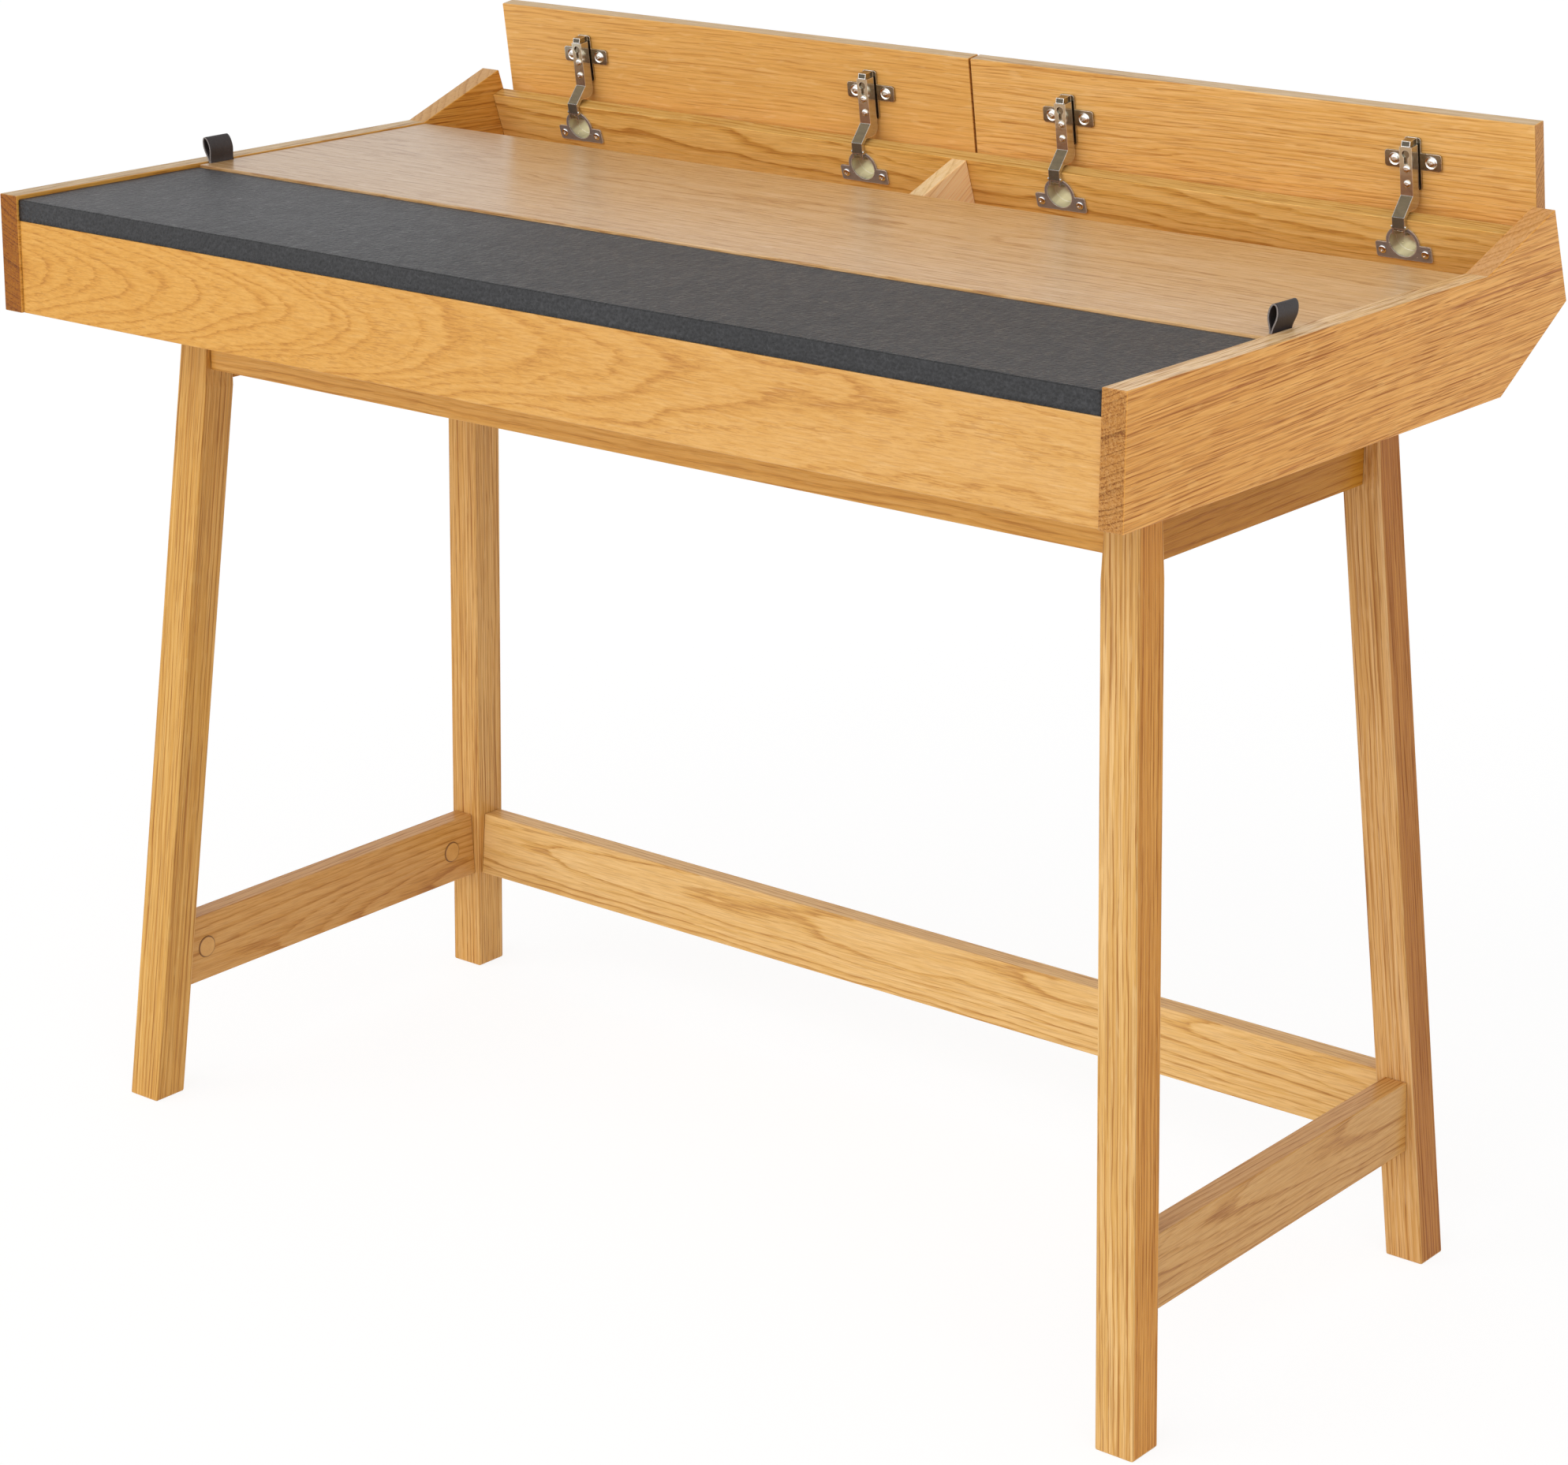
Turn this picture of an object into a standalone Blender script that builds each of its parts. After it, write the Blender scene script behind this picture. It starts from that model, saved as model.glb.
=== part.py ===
"""Writing desk in oak: a shallow carcass with a leather writing board, a lift-up lid and a rear trough
under two flaps on concealed cup hinges, standing on a frame of four splayed legs.

Metres, +Z up, the front towards -Y. The origin is on the floor under the middle of the desk.
The flaps are modelled standing open and the lid lying closed.
"""

import math

import bmesh
import bpy
from mathutils import Matrix, Vector
from mathutils.geometry import interpolate_bezier

# Clearances
SEAT_GAP = 0.0003          # between two pieces that touch or rest on each other

# Carcass
DESK_WIDTH = 1.100
SIDE_THICKNESS = 0.020
SIDE_TOP = 0.813           # height of the side panels' level top edge
SIDE_HEIGHT = 0.097        # of the side panels along their level edge
LEVEL_DEPTH = 0.481        # from the front to where the side panels start to rise
SLOPE_ANGLE = math.radians(20)
SLOPE_LENGTH = 0.1055      # of the rising edge, up to the peak
REAR_EDGE_LENGTH = 0.0795  # from the peak down to the rearmost corner, square to the slope
BOTTOM_SETBACK = 0.0973    # of the bottom's rear edge, from the side panels' rearmost corner
EDGE_ROUND = 0.0008        # eased edges of the boards
FASCIA_THICKNESS = 0.018
FASCIA_SETBACK = 0.002
BOTTOM_THICKNESS = 0.012
TROUGH_FLOOR_THICKNESS = 0.012
TROUGH_RAIL_THICKNESS = 0.012
TROUGH_RAIL_INSET = 0.009  # of its rear face, in front of the lid's rear edge
TROUGH_RAIL_DROP = 0.0022  # of its top edge, under the lid
DIVIDER_THICKNESS = 0.015
BACK_THICKNESS = 0.015
BACK_RECESS = 0.0005       # of its rear face, inside the side panels' rear edge
BACK_CHAMFER = 0.0015      # on its upper rear edge, where the flaps swing past

# Writing board, its leather and the lid
LEATHER_RECESS = 0.003     # of the leather, under the side panels' top edge
LEATHER_THICKNESS = 0.0012
LEATHER_EDGE_RADIUS = 0.004
LEATHER_TURN_UNDER = 0.012
BOARD_THICKNESS = 0.0143
BOARD_DEPTH = 0.1985       # from the leather's front to the board's rear edge
BOARD_RAIL_DEPTH = 0.032
BOARD_RAIL_HEIGHT = 0.016
BOARD_RAIL_LAP = 0.018     # of the board on the rail, the lid lying on the rest
LID_FRONT_GAP = 0.0015
LID_SIDE_GAP = 0.0012
LID_RECESS = 0.001
LID_THICKNESS = 0.0178
LID_PIN_INSET = 0.006      # of the pivot, from the lid's rear edge
LID_PIN_DROP = 0.005       # of the pivot, from the lid's upper face
LID_PIN_RADIUS = 0.0025
LID_PIN_DEPTH = 0.010      # of the pin's seat in the lid, and in the side panel
LID_CLEAT_WIDTH = 0.012
LID_CLEAT_HEIGHT = 0.015

# Pull tabs
TAB_WIDTH = 0.0265
TAB_THICKNESS = 0.0012
TAB_SETBACK = 0.0105       # behind the lid's front edge
TAB_TAIL = 0.012           # of both ends, glued into the lid's edge
TAB_TAIL_GAP = 0.0002      # between the two ends
TAB_SIDE_GAP = 0.0017      # to the side panel
TAB_HEIGHT = 0.0215        # of the loop, above the lid
TAB_BULGE = 0.0036         # of the strap's middle to each side, where the loop is widest
TAB_BELLY = 0.6            # height of the widest place, as a share of the loop's
TAB_CURL = 0.22            # reach of the loop's bends along its sides, as a share of its height
TAB_CROWN = 0.55           # reach of the bend at its top, as a share of the bulge
TAB_LEAN_LEFT = math.radians(15.8)
TAB_LEAN_RIGHT = math.radians(6.3)

# Flaps
FLAP_THICKNESS = 0.0145
FLAP_RECESS = 0.0009       # of a closed flap, under the side panels' slope
FLAP_GAP = 0.0025          # under a closed flap, to the back panel's top edge
FLAP_END_GAP = 0.003
FLAP_MIDDLE_GAP = 0.002
FLAP_FRONT_GAP = 0.0027    # of a closed flap, from the foot of the slope
FLAP_OPENING = math.radians(101)

# Flap hinges: the pin lies this far in front of the back panel's rear face and under its top edge
PIN_DEPTH = 0.0095
PIN_DROP = 0.0136
PIN_RADIUS = 0.0012
HINGE_INSET_LEFT = 0.0975  # from a flap's left end
HINGE_INSET_RIGHT = 0.1049
CUP_RADIUS = 0.013
CUP_WALL = 0.001
CUP_DEPTH = 0.0106
CUP_DROP = 0.0203          # of the cup's centre, under the back panel's top edge
FLANGE_RADIUS = 0.0148
FLANGE_THICKNESS = 0.0012
EAR_SPAN = 0.0495
EAR_HEIGHT = 0.0138
EAR_ROUND = 0.002
CUP_SCREW_DROP = 0.0076    # of the ears' middle line, under the cup's centre
ARM_WIDTH = 0.011
ARM_SHEET = 0.0013
ARM_STAND = 0.013          # of the arm's outer face, off the flap
ARM_LIP = 0.0035           # of the arm's side walls' edge, off the flap
ARM_END = 0.077            # this and the next heights are from the flap's hinged edge
ARM_BEND = 0.038
CRANK_RUN = 0.0145         # forward reach of the arm's crank
CRANK_RISE = 0.0135
CRANK_WALL = 0.0032
CHEEK_FOOT = 0.0268        # height of the side walls' lower edge, behind the crank
CHEEK_ROUND = 0.0065
KNEE_WALL = 0.0024
WEB_TOE = 0.0152           # height of the outer face's lower end
CHEEK_TOE = 0.0105         # height of the cheeks' lower end, in front of the cup
CHEEK_TURN = 0.0240        # how far off the flap the cheeks turn up, clear of the cup's flange
RIVET_HEIGHT = 0.0165
RIVET_RADIUS = 0.0014
RIVET_REACH = 0.0066       # of the rivet to each side
EYE_RADIUS = 0.0023
KEYHOLE_HEIGHT = 0.0712
KEYHOLE_RADIUS = 0.0034
KEYHOLE_SLOT_WIDTH = 0.0034
KEYHOLE_SLOT_LENGTH = 0.008
PLATE_THICKNESS = 0.0017
PLATE_SCREW_HEIGHT = 0.063
WING_SPAN = 0.050
WING_HEIGHT = 0.0137
WING_ROUND = 0.0025
PLATE_WIDTH = 0.0144
PLATE_FOOT = 0.0395
PLATE_HEAD = 0.082

# Leg frame
LEG_SIZE = 0.033
FOOT_SIDE_INSET = 0.021    # of the feet's outer faces at the floor, inside the desk's sides
FOOT_FRONT = 0.081         # from the side panels' front edge
FOOT_REAR_INSET = 0.0757   # from the side panels' rearmost corner
LEG_SPLAY_X = math.radians(4.15)
LEG_SPLAY_Y = math.radians(3.95)
LEG_KINK_DROP = 0.006      # of the legs' plumb inner faces, under the tallest apron
LEG_ROUND = 0.0015
APRON_THICKNESS = 0.017
FRONT_APRON_HEIGHT = 0.0585
SIDE_APRON_HEIGHT = 0.070
REAR_APRON_HEIGHT = 0.070
FRONT_APRON_SETBACK = 0.002  # from the legs' outer face at their top
SIDE_APRON_SETBACK = 0.0097
STRETCHER_THICKNESS = 0.020
STRETCHER_HEIGHT = 0.060
STRETCHER_MIDDLE = 0.1275
PLUG_RADIUS = 0.0095
PLUG_LENGTH = 0.006
PLUG_PROUD = 0.0008
PLUG_EDGE = 0.0004
PLUG_INSET_FRONT = 0.022   # from the front leg's face
PLUG_INSET_REAR = 0.030

# Roundness of the turned and bored shapes
ROUND_SEGMENTS = 40
SMALL_SEGMENTS = 20
BEND_POINTS = 9

OAK = ("oak", (0.60, 0.36, 0.14), 0.45, 0.0)
OAK_VENEER = ("oak_veneer", (0.66, 0.44, 0.23), 0.42, 0.0)
LEATHER = ("leather", (0.045, 0.045, 0.05), 0.55, 0.0)
TAB_LEATHER = ("tab_leather", (0.03, 0.027, 0.028), 0.6, 0.0)
NICKEL = ("nickel", (0.70, 0.66, 0.60), 0.22, 1.0)
PLUG = ("plug", (0.62, 0.42, 0.20), 0.55, 0.0)

# The carcass section, as (depth from the front, height)
INNER_HALF = DESK_WIDTH / 2 - SIDE_THICKNESS
FITTED_WIDTH = 2 * (INNER_HALF - SEAT_GAP)
SIDE_BOTTOM = SIDE_TOP - SIDE_HEIGHT
UPHILL = Vector((math.cos(SLOPE_ANGLE), math.sin(SLOPE_ANGLE)))
DOWN_BACK = Vector((math.sin(SLOPE_ANGLE), -math.cos(SLOPE_ANGLE)))
SLOPE_FOOT = Vector((LEVEL_DEPTH, SIDE_TOP))
PEAK = SLOPE_FOOT + SLOPE_LENGTH * UPHILL
REAR_TIP = PEAK + REAR_EDGE_LENGTH * DOWN_BACK
BOTTOM_REAR = Vector((REAR_TIP.x - BOTTOM_SETBACK, SIDE_BOTTOM))
FLAP_ROOM = FLAP_RECESS + FLAP_THICKNESS + FLAP_GAP
BACK_CORNER = PEAK - BACK_RECESS * UPHILL + FLAP_ROOM * DOWN_BACK
PIN_AXIS = BACK_CORNER - PIN_DEPTH * UPHILL + PIN_DROP * DOWN_BACK

# The flaps in their own frame: its origin is the pin, and heights run along the flap from its hinged edge
FLAP_LEAN = math.radians(90) + SLOPE_ANGLE - FLAP_OPENING
FLAP_LENGTH = SLOPE_LENGTH - BACK_RECESS - FLAP_FRONT_GAP
FLAP_FACE = PIN_DROP + FLAP_GAP
FLAP_WIDTH = INNER_HALF - FLAP_END_GAP - FLAP_MIDDLE_GAP / 2
FLAP_REAR = (PIN_AXIS.x + (FLAP_FACE + FLAP_THICKNESS) * math.cos(FLAP_LEAN)
             + PIN_DEPTH * math.sin(FLAP_LEAN))
OVERALL_DEPTH = max(FLAP_REAR, REAR_TIP.x)

# Heights of the writing board and the lid
LEATHER_TOP = SIDE_TOP - LEATHER_RECESS
BOARD_TOP = LEATHER_TOP - LEATHER_THICKNESS - SEAT_GAP
BOARD_BOTTOM = BOARD_TOP - BOARD_THICKNESS
LEATHER_BOTTOM = BOARD_BOTTOM - SEAT_GAP - LEATHER_THICKNESS
FASCIA_TOP = LEATHER_BOTTOM - SEAT_GAP
LID_TOP = SIDE_TOP - LID_RECESS
LID_BOTTOM = LID_TOP - LID_THICKNESS
FLOOR_TOP = SIDE_BOTTOM + BOTTOM_THICKNESS
BOARD_REAR = FASCIA_SETBACK + BOARD_DEPTH
LID_FRONT = BOARD_REAR + LID_FRONT_GAP
LID_REAR = LEVEL_DEPTH
LID_HALF = INNER_HALF - LID_SIDE_GAP
LID_AXIS = Vector((LID_REAR - LID_PIN_INSET, LID_TOP - LID_PIN_DROP))
BOARD_RAIL_FRONT = BOARD_REAR - BOARD_RAIL_LAP
BOARD_RAIL_TOP = min(BOARD_BOTTOM, LID_BOTTOM) - SEAT_GAP
TROUGH_RAIL_REAR = LID_REAR - TROUGH_RAIL_INSET
TROUGH_RAIL_FRONT = TROUGH_RAIL_REAR - TROUGH_RAIL_THICKNESS

# The leg frame's planes
FOOT_HALF_SPAN = DESK_WIDTH / 2 - FOOT_SIDE_INSET
FOOT_REAR = REAR_TIP.x - FOOT_REAR_INSET
LEG_TOP = SIDE_BOTTOM - SEAT_GAP
TALLEST_APRON = max(FRONT_APRON_HEIGHT, SIDE_APRON_HEIGHT, REAR_APRON_HEIGHT)
LEG_KINK = LEG_TOP - TALLEST_APRON - LEG_KINK_DROP
LEFT, RIGHT = -1, 1
FRONT, REAR = -1, 1


def clear_scene():
    for obj in list(bpy.data.objects):
        bpy.data.objects.remove(obj, do_unlink=True)


def new_collection(name):
    collection = bpy.data.collections.new(name)
    bpy.context.scene.collection.children.link(collection)
    return collection


def material(spec):
    name, colour, roughness, metallic = spec
    found = bpy.data.materials.get(name)
    if found:
        return found
    made = bpy.data.materials.new(name)
    made.use_nodes = True
    shader = made.node_tree.nodes["Principled BSDF"]
    shader.inputs["Base Color"].default_value = (*colour, 1)
    shader.inputs["Roughness"].default_value = roughness
    shader.inputs["Metallic"].default_value = metallic
    return made


def desk_point(x, section):
    """A world point from a place across the desk and a (depth from the front, height) pair."""
    return Vector((x, section[0] - OVERALL_DEPTH / 2, section[1]))


def crossing(point, along, other, other_along):
    """Where two lines of the carcass section meet."""
    turn = along.x * other_along.y - along.y * other_along.x
    offset = other - point
    return point + along * ((offset.x * other_along.y - offset.y * other_along.x) / turn)


def add_empty(name, location, tilt=0.0):
    empty = bpy.data.objects.new(name, None)
    empty.location = location
    empty.rotation_euler.x = tilt
    empty.empty_display_size = 0.02
    PARTS.objects.link(empty)
    return empty


def add_part(name, mesh, spec, location=(0, 0, 0), parent=None):
    mesh.name = name
    mesh.materials.append(material(spec))
    obj = bpy.data.objects.new(name, mesh)
    obj.location = location
    obj.parent = parent
    PARTS.objects.link(obj)
    return obj


def mesh_of(bm):
    mesh = bpy.data.meshes.new("shape")
    bmesh.ops.recalc_face_normals(bm, faces=bm.faces)
    bm.to_mesh(mesh)
    bm.free()
    return mesh


def box(low, high):
    """A block between two opposite corners."""
    low, high = Vector(low), Vector(high)
    bm = bmesh.new()
    bmesh.ops.create_cube(bm, size=1)
    bmesh.ops.scale(bm, vec=high - low, verts=bm.verts)
    bmesh.ops.translate(bm, vec=(low + high) / 2, verts=bm.verts)
    return mesh_of(bm)


def move_swept(bm, swept, step):
    """Moves the points that an extrusion has made."""
    points = [item for item in swept["geom"] if isinstance(item, bmesh.types.BMVert)]
    bmesh.ops.translate(bm, vec=step, verts=points)


def prism(outline, start, end, axis="X"):
    """An outline swept from start to end along X, from (y, z) pairs, or along Y, from (x, z) pairs."""
    bm = bmesh.new()
    if axis == "X":
        corners = [bm.verts.new((start, a, b)) for a, b in outline]
        step = Vector((end - start, 0, 0))
    else:
        corners = [bm.verts.new((a, start, b)) for a, b in outline]
        step = Vector((0, end - start, 0))
    face = bm.faces.new(corners)
    move_swept(bm, bmesh.ops.extrude_face_region(bm, geom=[face]), step)
    return mesh_of(bm)


def cylinder(radius, start, end, axis="X", centre=(0, 0, 0), segments=ROUND_SEGMENTS):
    """A round bar about a line along the axis through centre, from start to end along it."""
    bm = bmesh.new()
    bmesh.ops.create_cone(bm, cap_ends=True, segments=segments, radius1=radius, radius2=radius,
                          depth=end - start)
    bmesh.ops.translate(bm, vec=(0, 0, (start + end) / 2), verts=bm.verts)
    if axis == "X":
        turn = Matrix.Rotation(math.radians(90), 4, "Y")
    else:
        turn = Matrix.Rotation(math.radians(-90), 4, "X")
    bmesh.ops.transform(bm, matrix=Matrix.Translation(centre) @ turn, verts=bm.verts)
    return mesh_of(bm)


def ease_edges(obj, width=EDGE_ROUND, segments=2):
    bevel = obj.modifiers.new("eased edges", "BEVEL")
    bevel.width = width
    bevel.segments = segments
    bevel.limit_method = "ANGLE"
    bevel.angle_limit = math.radians(40)


def combine(obj, operation, mesh):
    """Cuts a mesh from an object or joins it on, in the object's own frame."""
    helper = bpy.data.objects.new(f"{obj.name}_{operation.lower()}", mesh)
    helper.location = obj.location
    helper.parent = obj.parent
    helper.hide_render = True
    helper.display_type = "WIRE"
    CUTTERS.objects.link(helper)
    boolean = obj.modifiers.new(operation.lower(), "BOOLEAN")
    boolean.operation = operation
    boolean.solver = "EXACT"
    boolean.object = helper


def shade_round(obj):
    obj.data.shade_smooth()
    obj.data.set_sharp_from_angle(angle=math.radians(35))


def arc(centre, radius, first, last, points=BEND_POINTS):
    """Points along a circle, from one angle to another in degrees."""
    step = math.radians(last - first) / (points - 1)
    turns = (math.radians(first) + step * i for i in range(points))
    return [(centre[0] + radius * math.cos(t), centre[1] + radius * math.sin(t)) for t in turns]


def rounded_rectangle(width, height, radius, centre_height=0.0):
    """Outline of a plate about x = 0 with round corners."""
    x, z = width / 2 - radius, height / 2 - radius
    corners = (((x, z), 0), ((-x, z), 90), ((-x, -z), 180), ((x, -z), 270))
    return [point for (a, b), turn in corners
            for point in arc((a, b + centre_height), radius, turn, turn + 90, 5)]


def leg_outer_x(height):
    return FOOT_HALF_SPAN - height * math.tan(LEG_SPLAY_X)


def leg_inner_x(height):
    return leg_outer_x(min(height, LEG_KINK)) - LEG_SIZE


def leg_outer_y(end, height):
    shift = height * math.tan(LEG_SPLAY_Y)
    return FOOT_FRONT + shift if end == FRONT else FOOT_REAR - shift


def leg_inner_y(end, height):
    return leg_outer_y(end, min(height, LEG_KINK)) - end * LEG_SIZE


def build_sides():
    outline = [(0, SIDE_TOP), SLOPE_FOOT, PEAK, REAR_TIP, BOTTOM_REAR, (0, SIDE_BOTTOM)]
    for name, side in (("side_panel_left", LEFT), ("side_panel_right", RIGHT)):
        edges = sorted((side * INNER_HALF, side * DESK_WIDTH / 2))
        panel = add_part(name, prism(outline, *edges), OAK, desk_point(0, (0, 0)))
        ease_edges(panel)
        seat = sorted((side * (INNER_HALF - SEAT_GAP), side * (INNER_HALF + LID_PIN_DEPTH)))
        combine(panel, "DIFFERENCE", cylinder(LID_PIN_RADIUS + SEAT_GAP, *seat, centre=(0, *LID_AXIS),
                                              segments=SMALL_SEGMENTS))


def board_between_sides(name, spec, outline):
    """A board that fills the width between the side panels, from its section."""
    half = FITTED_WIDTH / 2
    obj = add_part(name, prism(outline, -half, half), spec, desk_point(0, (0, 0)))
    ease_edges(obj)
    return obj


def rectangle(front, rear, bottom, top):
    return [(front, bottom), (rear, bottom), (rear, top), (front, top)]


def build_carcass():
    fascia_rear = FASCIA_SETBACK + SEAT_GAP + FASCIA_THICKNESS
    board_between_sides("front_fascia", OAK,
                        rectangle(FASCIA_SETBACK + SEAT_GAP, fascia_rear, SIDE_BOTTOM, FASCIA_TOP))
    # The trough floor rises from the bottom panel's rear edge to the side panels' rearmost corner.
    rise = (REAR_TIP - BOTTOM_REAR).normalized()
    inward = Vector((-rise.y, rise.x))
    level = Vector((1, 0))
    floor_line = BOTTOM_REAR + TROUGH_FLOOR_THICKNESS * inward
    fold = crossing(Vector((0, FLOOR_TOP)), level, floor_line, rise)
    floor_end = crossing(floor_line, rise, REAR_TIP, DOWN_BACK)
    mitre_gap = Vector((SEAT_GAP, 0))
    board_between_sides("bottom_panel", OAK,
                        [(fascia_rear + SEAT_GAP, SIDE_BOTTOM), BOTTOM_REAR - mitre_gap, fold - mitre_gap,
                         (fascia_rear + SEAT_GAP, FLOOR_TOP)])
    board_between_sides("trough_floor", OAK, [BOTTOM_REAR, REAR_TIP, floor_end, fold])
    board_between_sides("trough_rail", OAK,
                        rectangle(TROUGH_RAIL_FRONT, TROUGH_RAIL_REAR, FLOOR_TOP + SEAT_GAP,
                                  LID_BOTTOM - TROUGH_RAIL_DROP))
    board_between_sides("board_rail", OAK,
                        rectangle(BOARD_RAIL_FRONT, BOARD_RAIL_FRONT + BOARD_RAIL_DEPTH,
                                  BOARD_RAIL_TOP - BOARD_RAIL_HEIGHT, BOARD_RAIL_TOP))
    seat = floor_line + SEAT_GAP * inward
    back_foot = crossing(BACK_CORNER, DOWN_BACK, seat, rise)
    build_back_panel((back_foot - BACK_CORNER).length)
    # The divider fills the trough's section under the plane of the back panel's top edge.
    face = BACK_CORNER - (BACK_THICKNESS + SEAT_GAP) * UPHILL
    front = Vector((TROUGH_RAIL_REAR + SEAT_GAP, FLOOR_TOP + SEAT_GAP))
    plumb = Vector((0, 1))
    outline = [face, crossing(face, UPHILL, front, plumb), front, crossing(front, level, seat, rise),
               crossing(face, DOWN_BACK, seat, rise)]
    half = DIVIDER_THICKNESS / 2
    ease_edges(add_part("trough_divider", prism(outline, -half, half), OAK, desk_point(0, (0, 0))))


def build_back_panel(height):
    """The leaning back panel in its own frame, with a blind bore for each hinge cup."""
    outline = [(-BACK_THICKNESS, -height), (0, -height), (0, -BACK_CHAMFER), (-BACK_CHAMFER, 0),
               (-BACK_THICKNESS, 0)]
    half = FITTED_WIDTH / 2
    panel = add_part("back_panel", prism(outline, -half, half), OAK, parent=BACK_FRAME)
    ease_edges(panel, EDGE_ROUND / 2)
    mouth = -BACK_THICKNESS - SEAT_GAP
    for x in hinge_places():
        combine(panel, "DIFFERENCE", cylinder(CUP_RADIUS + SEAT_GAP, mouth, CUP_DEPTH - BACK_THICKNESS, "Y",
                                              (x, 0, -CUP_DROP)))


def build_writing_board():
    board_front = FASCIA_SETBACK + LEATHER_THICKNESS + SEAT_GAP
    inner = LEATHER_EDGE_RADIUS - LEATHER_THICKNESS - SEAT_GAP
    bend = (board_front + inner, BOARD_TOP - inner)
    outline = arc(bend, inner, 90, 180) + [(board_front, BOARD_BOTTOM), (BOARD_REAR, BOARD_BOTTOM),
                                           (BOARD_REAR, BOARD_TOP)]
    half = FITTED_WIDTH / 2
    add_part("writing_board", prism(outline, -half, half), OAK, desk_point(0, (0, 0)))
    # The leather runs over the board, round its front edge and a little way under it.
    outer_bend = arc(bend, LEATHER_EDGE_RADIUS, 90, 180)
    inner_bend = arc(bend, LEATHER_EDGE_RADIUS - LEATHER_THICKNESS, 180, 90)
    under = FASCIA_SETBACK + LEATHER_TURN_UNDER
    lining = FASCIA_SETBACK + LEATHER_THICKNESS
    skin = [(BOARD_REAR, LEATHER_TOP), *outer_bend, (FASCIA_SETBACK, LEATHER_BOTTOM), (under, LEATHER_BOTTOM),
            (under, LEATHER_BOTTOM + LEATHER_THICKNESS), (lining, LEATHER_BOTTOM + LEATHER_THICKNESS),
            *inner_bend, (BOARD_REAR, LEATHER_TOP - LEATHER_THICKNESS)]
    cover = add_part("leather_cover", prism(skin, -half, half), LEATHER, desk_point(0, (0, 0)))
    shade_round(cover)


def build_lid():
    """The lid, its pivot pins in the side panels, and the cleats it lies on."""
    low = (-LID_HALF, LID_FRONT - LID_AXIS.x, LID_BOTTOM - LID_AXIS.y)
    high = (LID_HALF, LID_REAR - LID_AXIS.x, LID_TOP - LID_AXIS.y)
    lid = add_part("lid", box(low, high), OAK_VENEER, parent=LID_FRAME)
    ease_edges(lid)
    tab_front = LID_FRONT + TAB_SETBACK - LID_AXIS.x
    notch_depth = TAB_SIDE_GAP + 2 * TAB_THICKNESS + TAB_TAIL_GAP + SEAT_GAP
    for name, side in (("left", LEFT), ("right", RIGHT)):
        inner_end, outer_end = LID_HALF - LID_PIN_DEPTH, INNER_HALF + LID_PIN_DEPTH
        bore = sorted((side * inner_end, side * INNER_HALF))
        combine(lid, "DIFFERENCE", cylinder(LID_PIN_RADIUS + SEAT_GAP, *bore, segments=SMALL_SEGMENTS))
        notch = sorted((side * (INNER_HALF - notch_depth), side * INNER_HALF))
        notch_low = (notch[0], tab_front - SEAT_GAP, LID_PIN_DROP - TAB_TAIL - SEAT_GAP)
        notch_high = (notch[1], tab_front + TAB_WIDTH + SEAT_GAP, LID_PIN_DROP + SEAT_GAP)
        combine(lid, "DIFFERENCE", box(notch_low, notch_high))
        reach = sorted((side * (inner_end + SEAT_GAP), side * (outer_end - SEAT_GAP)))
        pin = add_part(f"lid_pin_{name}", cylinder(LID_PIN_RADIUS, *reach, segments=SMALL_SEGMENTS),
                       NICKEL, desk_point(0, LID_AXIS))
        shade_round(pin)
        wall = sorted((side * (INNER_HALF - SEAT_GAP - LID_CLEAT_WIDTH), side * (INNER_HALF - SEAT_GAP)))
        top = LID_BOTTOM - SEAT_GAP
        cleat = prism(rectangle(BOARD_RAIL_FRONT + BOARD_RAIL_DEPTH + SEAT_GAP, TROUGH_RAIL_FRONT - SEAT_GAP,
                                top - LID_CLEAT_HEIGHT, top), *wall)
        ease_edges(add_part(f"lid_cleat_{name}", cleat, OAK, desk_point(0, (0, 0))))


def bend_through(start, leave, end, arrive):
    """Points of a bend that leaves one place along one vector and reaches the other against another."""
    return [tuple(p) for p in interpolate_bezier(start, start + leave, end + arrive, end, BEND_POINTS)]


def tab_centreline(lean):
    """Middle of the strap as (outwards, height) pairs: up one end, round the loop and down the other."""
    tail = (TAB_TAIL_GAP + TAB_THICKNESS) / 2
    foot = Vector((tail, 0))
    belly = Vector((TAB_BULGE, TAB_HEIGHT * TAB_BELLY))
    crown = Vector((0, TAB_HEIGHT - TAB_THICKNESS / 2))
    rise = Vector((0, TAB_HEIGHT * TAB_CURL))
    round_over = Vector((TAB_BULGE * TAB_CROWN, 0))
    outer = bend_through(crown, round_over, belly, rise)[:-1]
    outer += bend_through(belly, -rise, foot, rise)
    outer.append((tail, -TAB_TAIL))
    inner = [(-x, z) for x, z in reversed(outer[1:])]
    return [(x + max(z, 0) * math.tan(lean), z) for x, z in inner + outer]


def build_tab(name, side, lean):
    """A leather strap folded into a loop, whose two ends are glued into the lid's edge."""
    bm = bmesh.new()
    tail_middle = INNER_HALF - TAB_SIDE_GAP - TAB_THICKNESS - TAB_TAIL_GAP / 2
    front = LID_FRONT + TAB_SETBACK - LID_AXIS.x
    line = [(side * (tail_middle + x), front, LID_PIN_DROP + z) for x, z in tab_centreline(lean)]
    points = [bm.verts.new(place) for place in line]
    edges = [bm.edges.new(pair) for pair in zip(points, points[1:])]
    move_swept(bm, bmesh.ops.extrude_edge_only(bm, edges=edges), Vector((0, TAB_WIDTH, 0)))
    tab = add_part(name, mesh_of(bm), TAB_LEATHER, parent=LID_FRAME)
    strap = tab.modifiers.new("strap", "SOLIDIFY")
    strap.thickness = TAB_THICKNESS
    strap.offset = 0
    strap.use_even_offset = True
    shade_round(tab)


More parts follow.
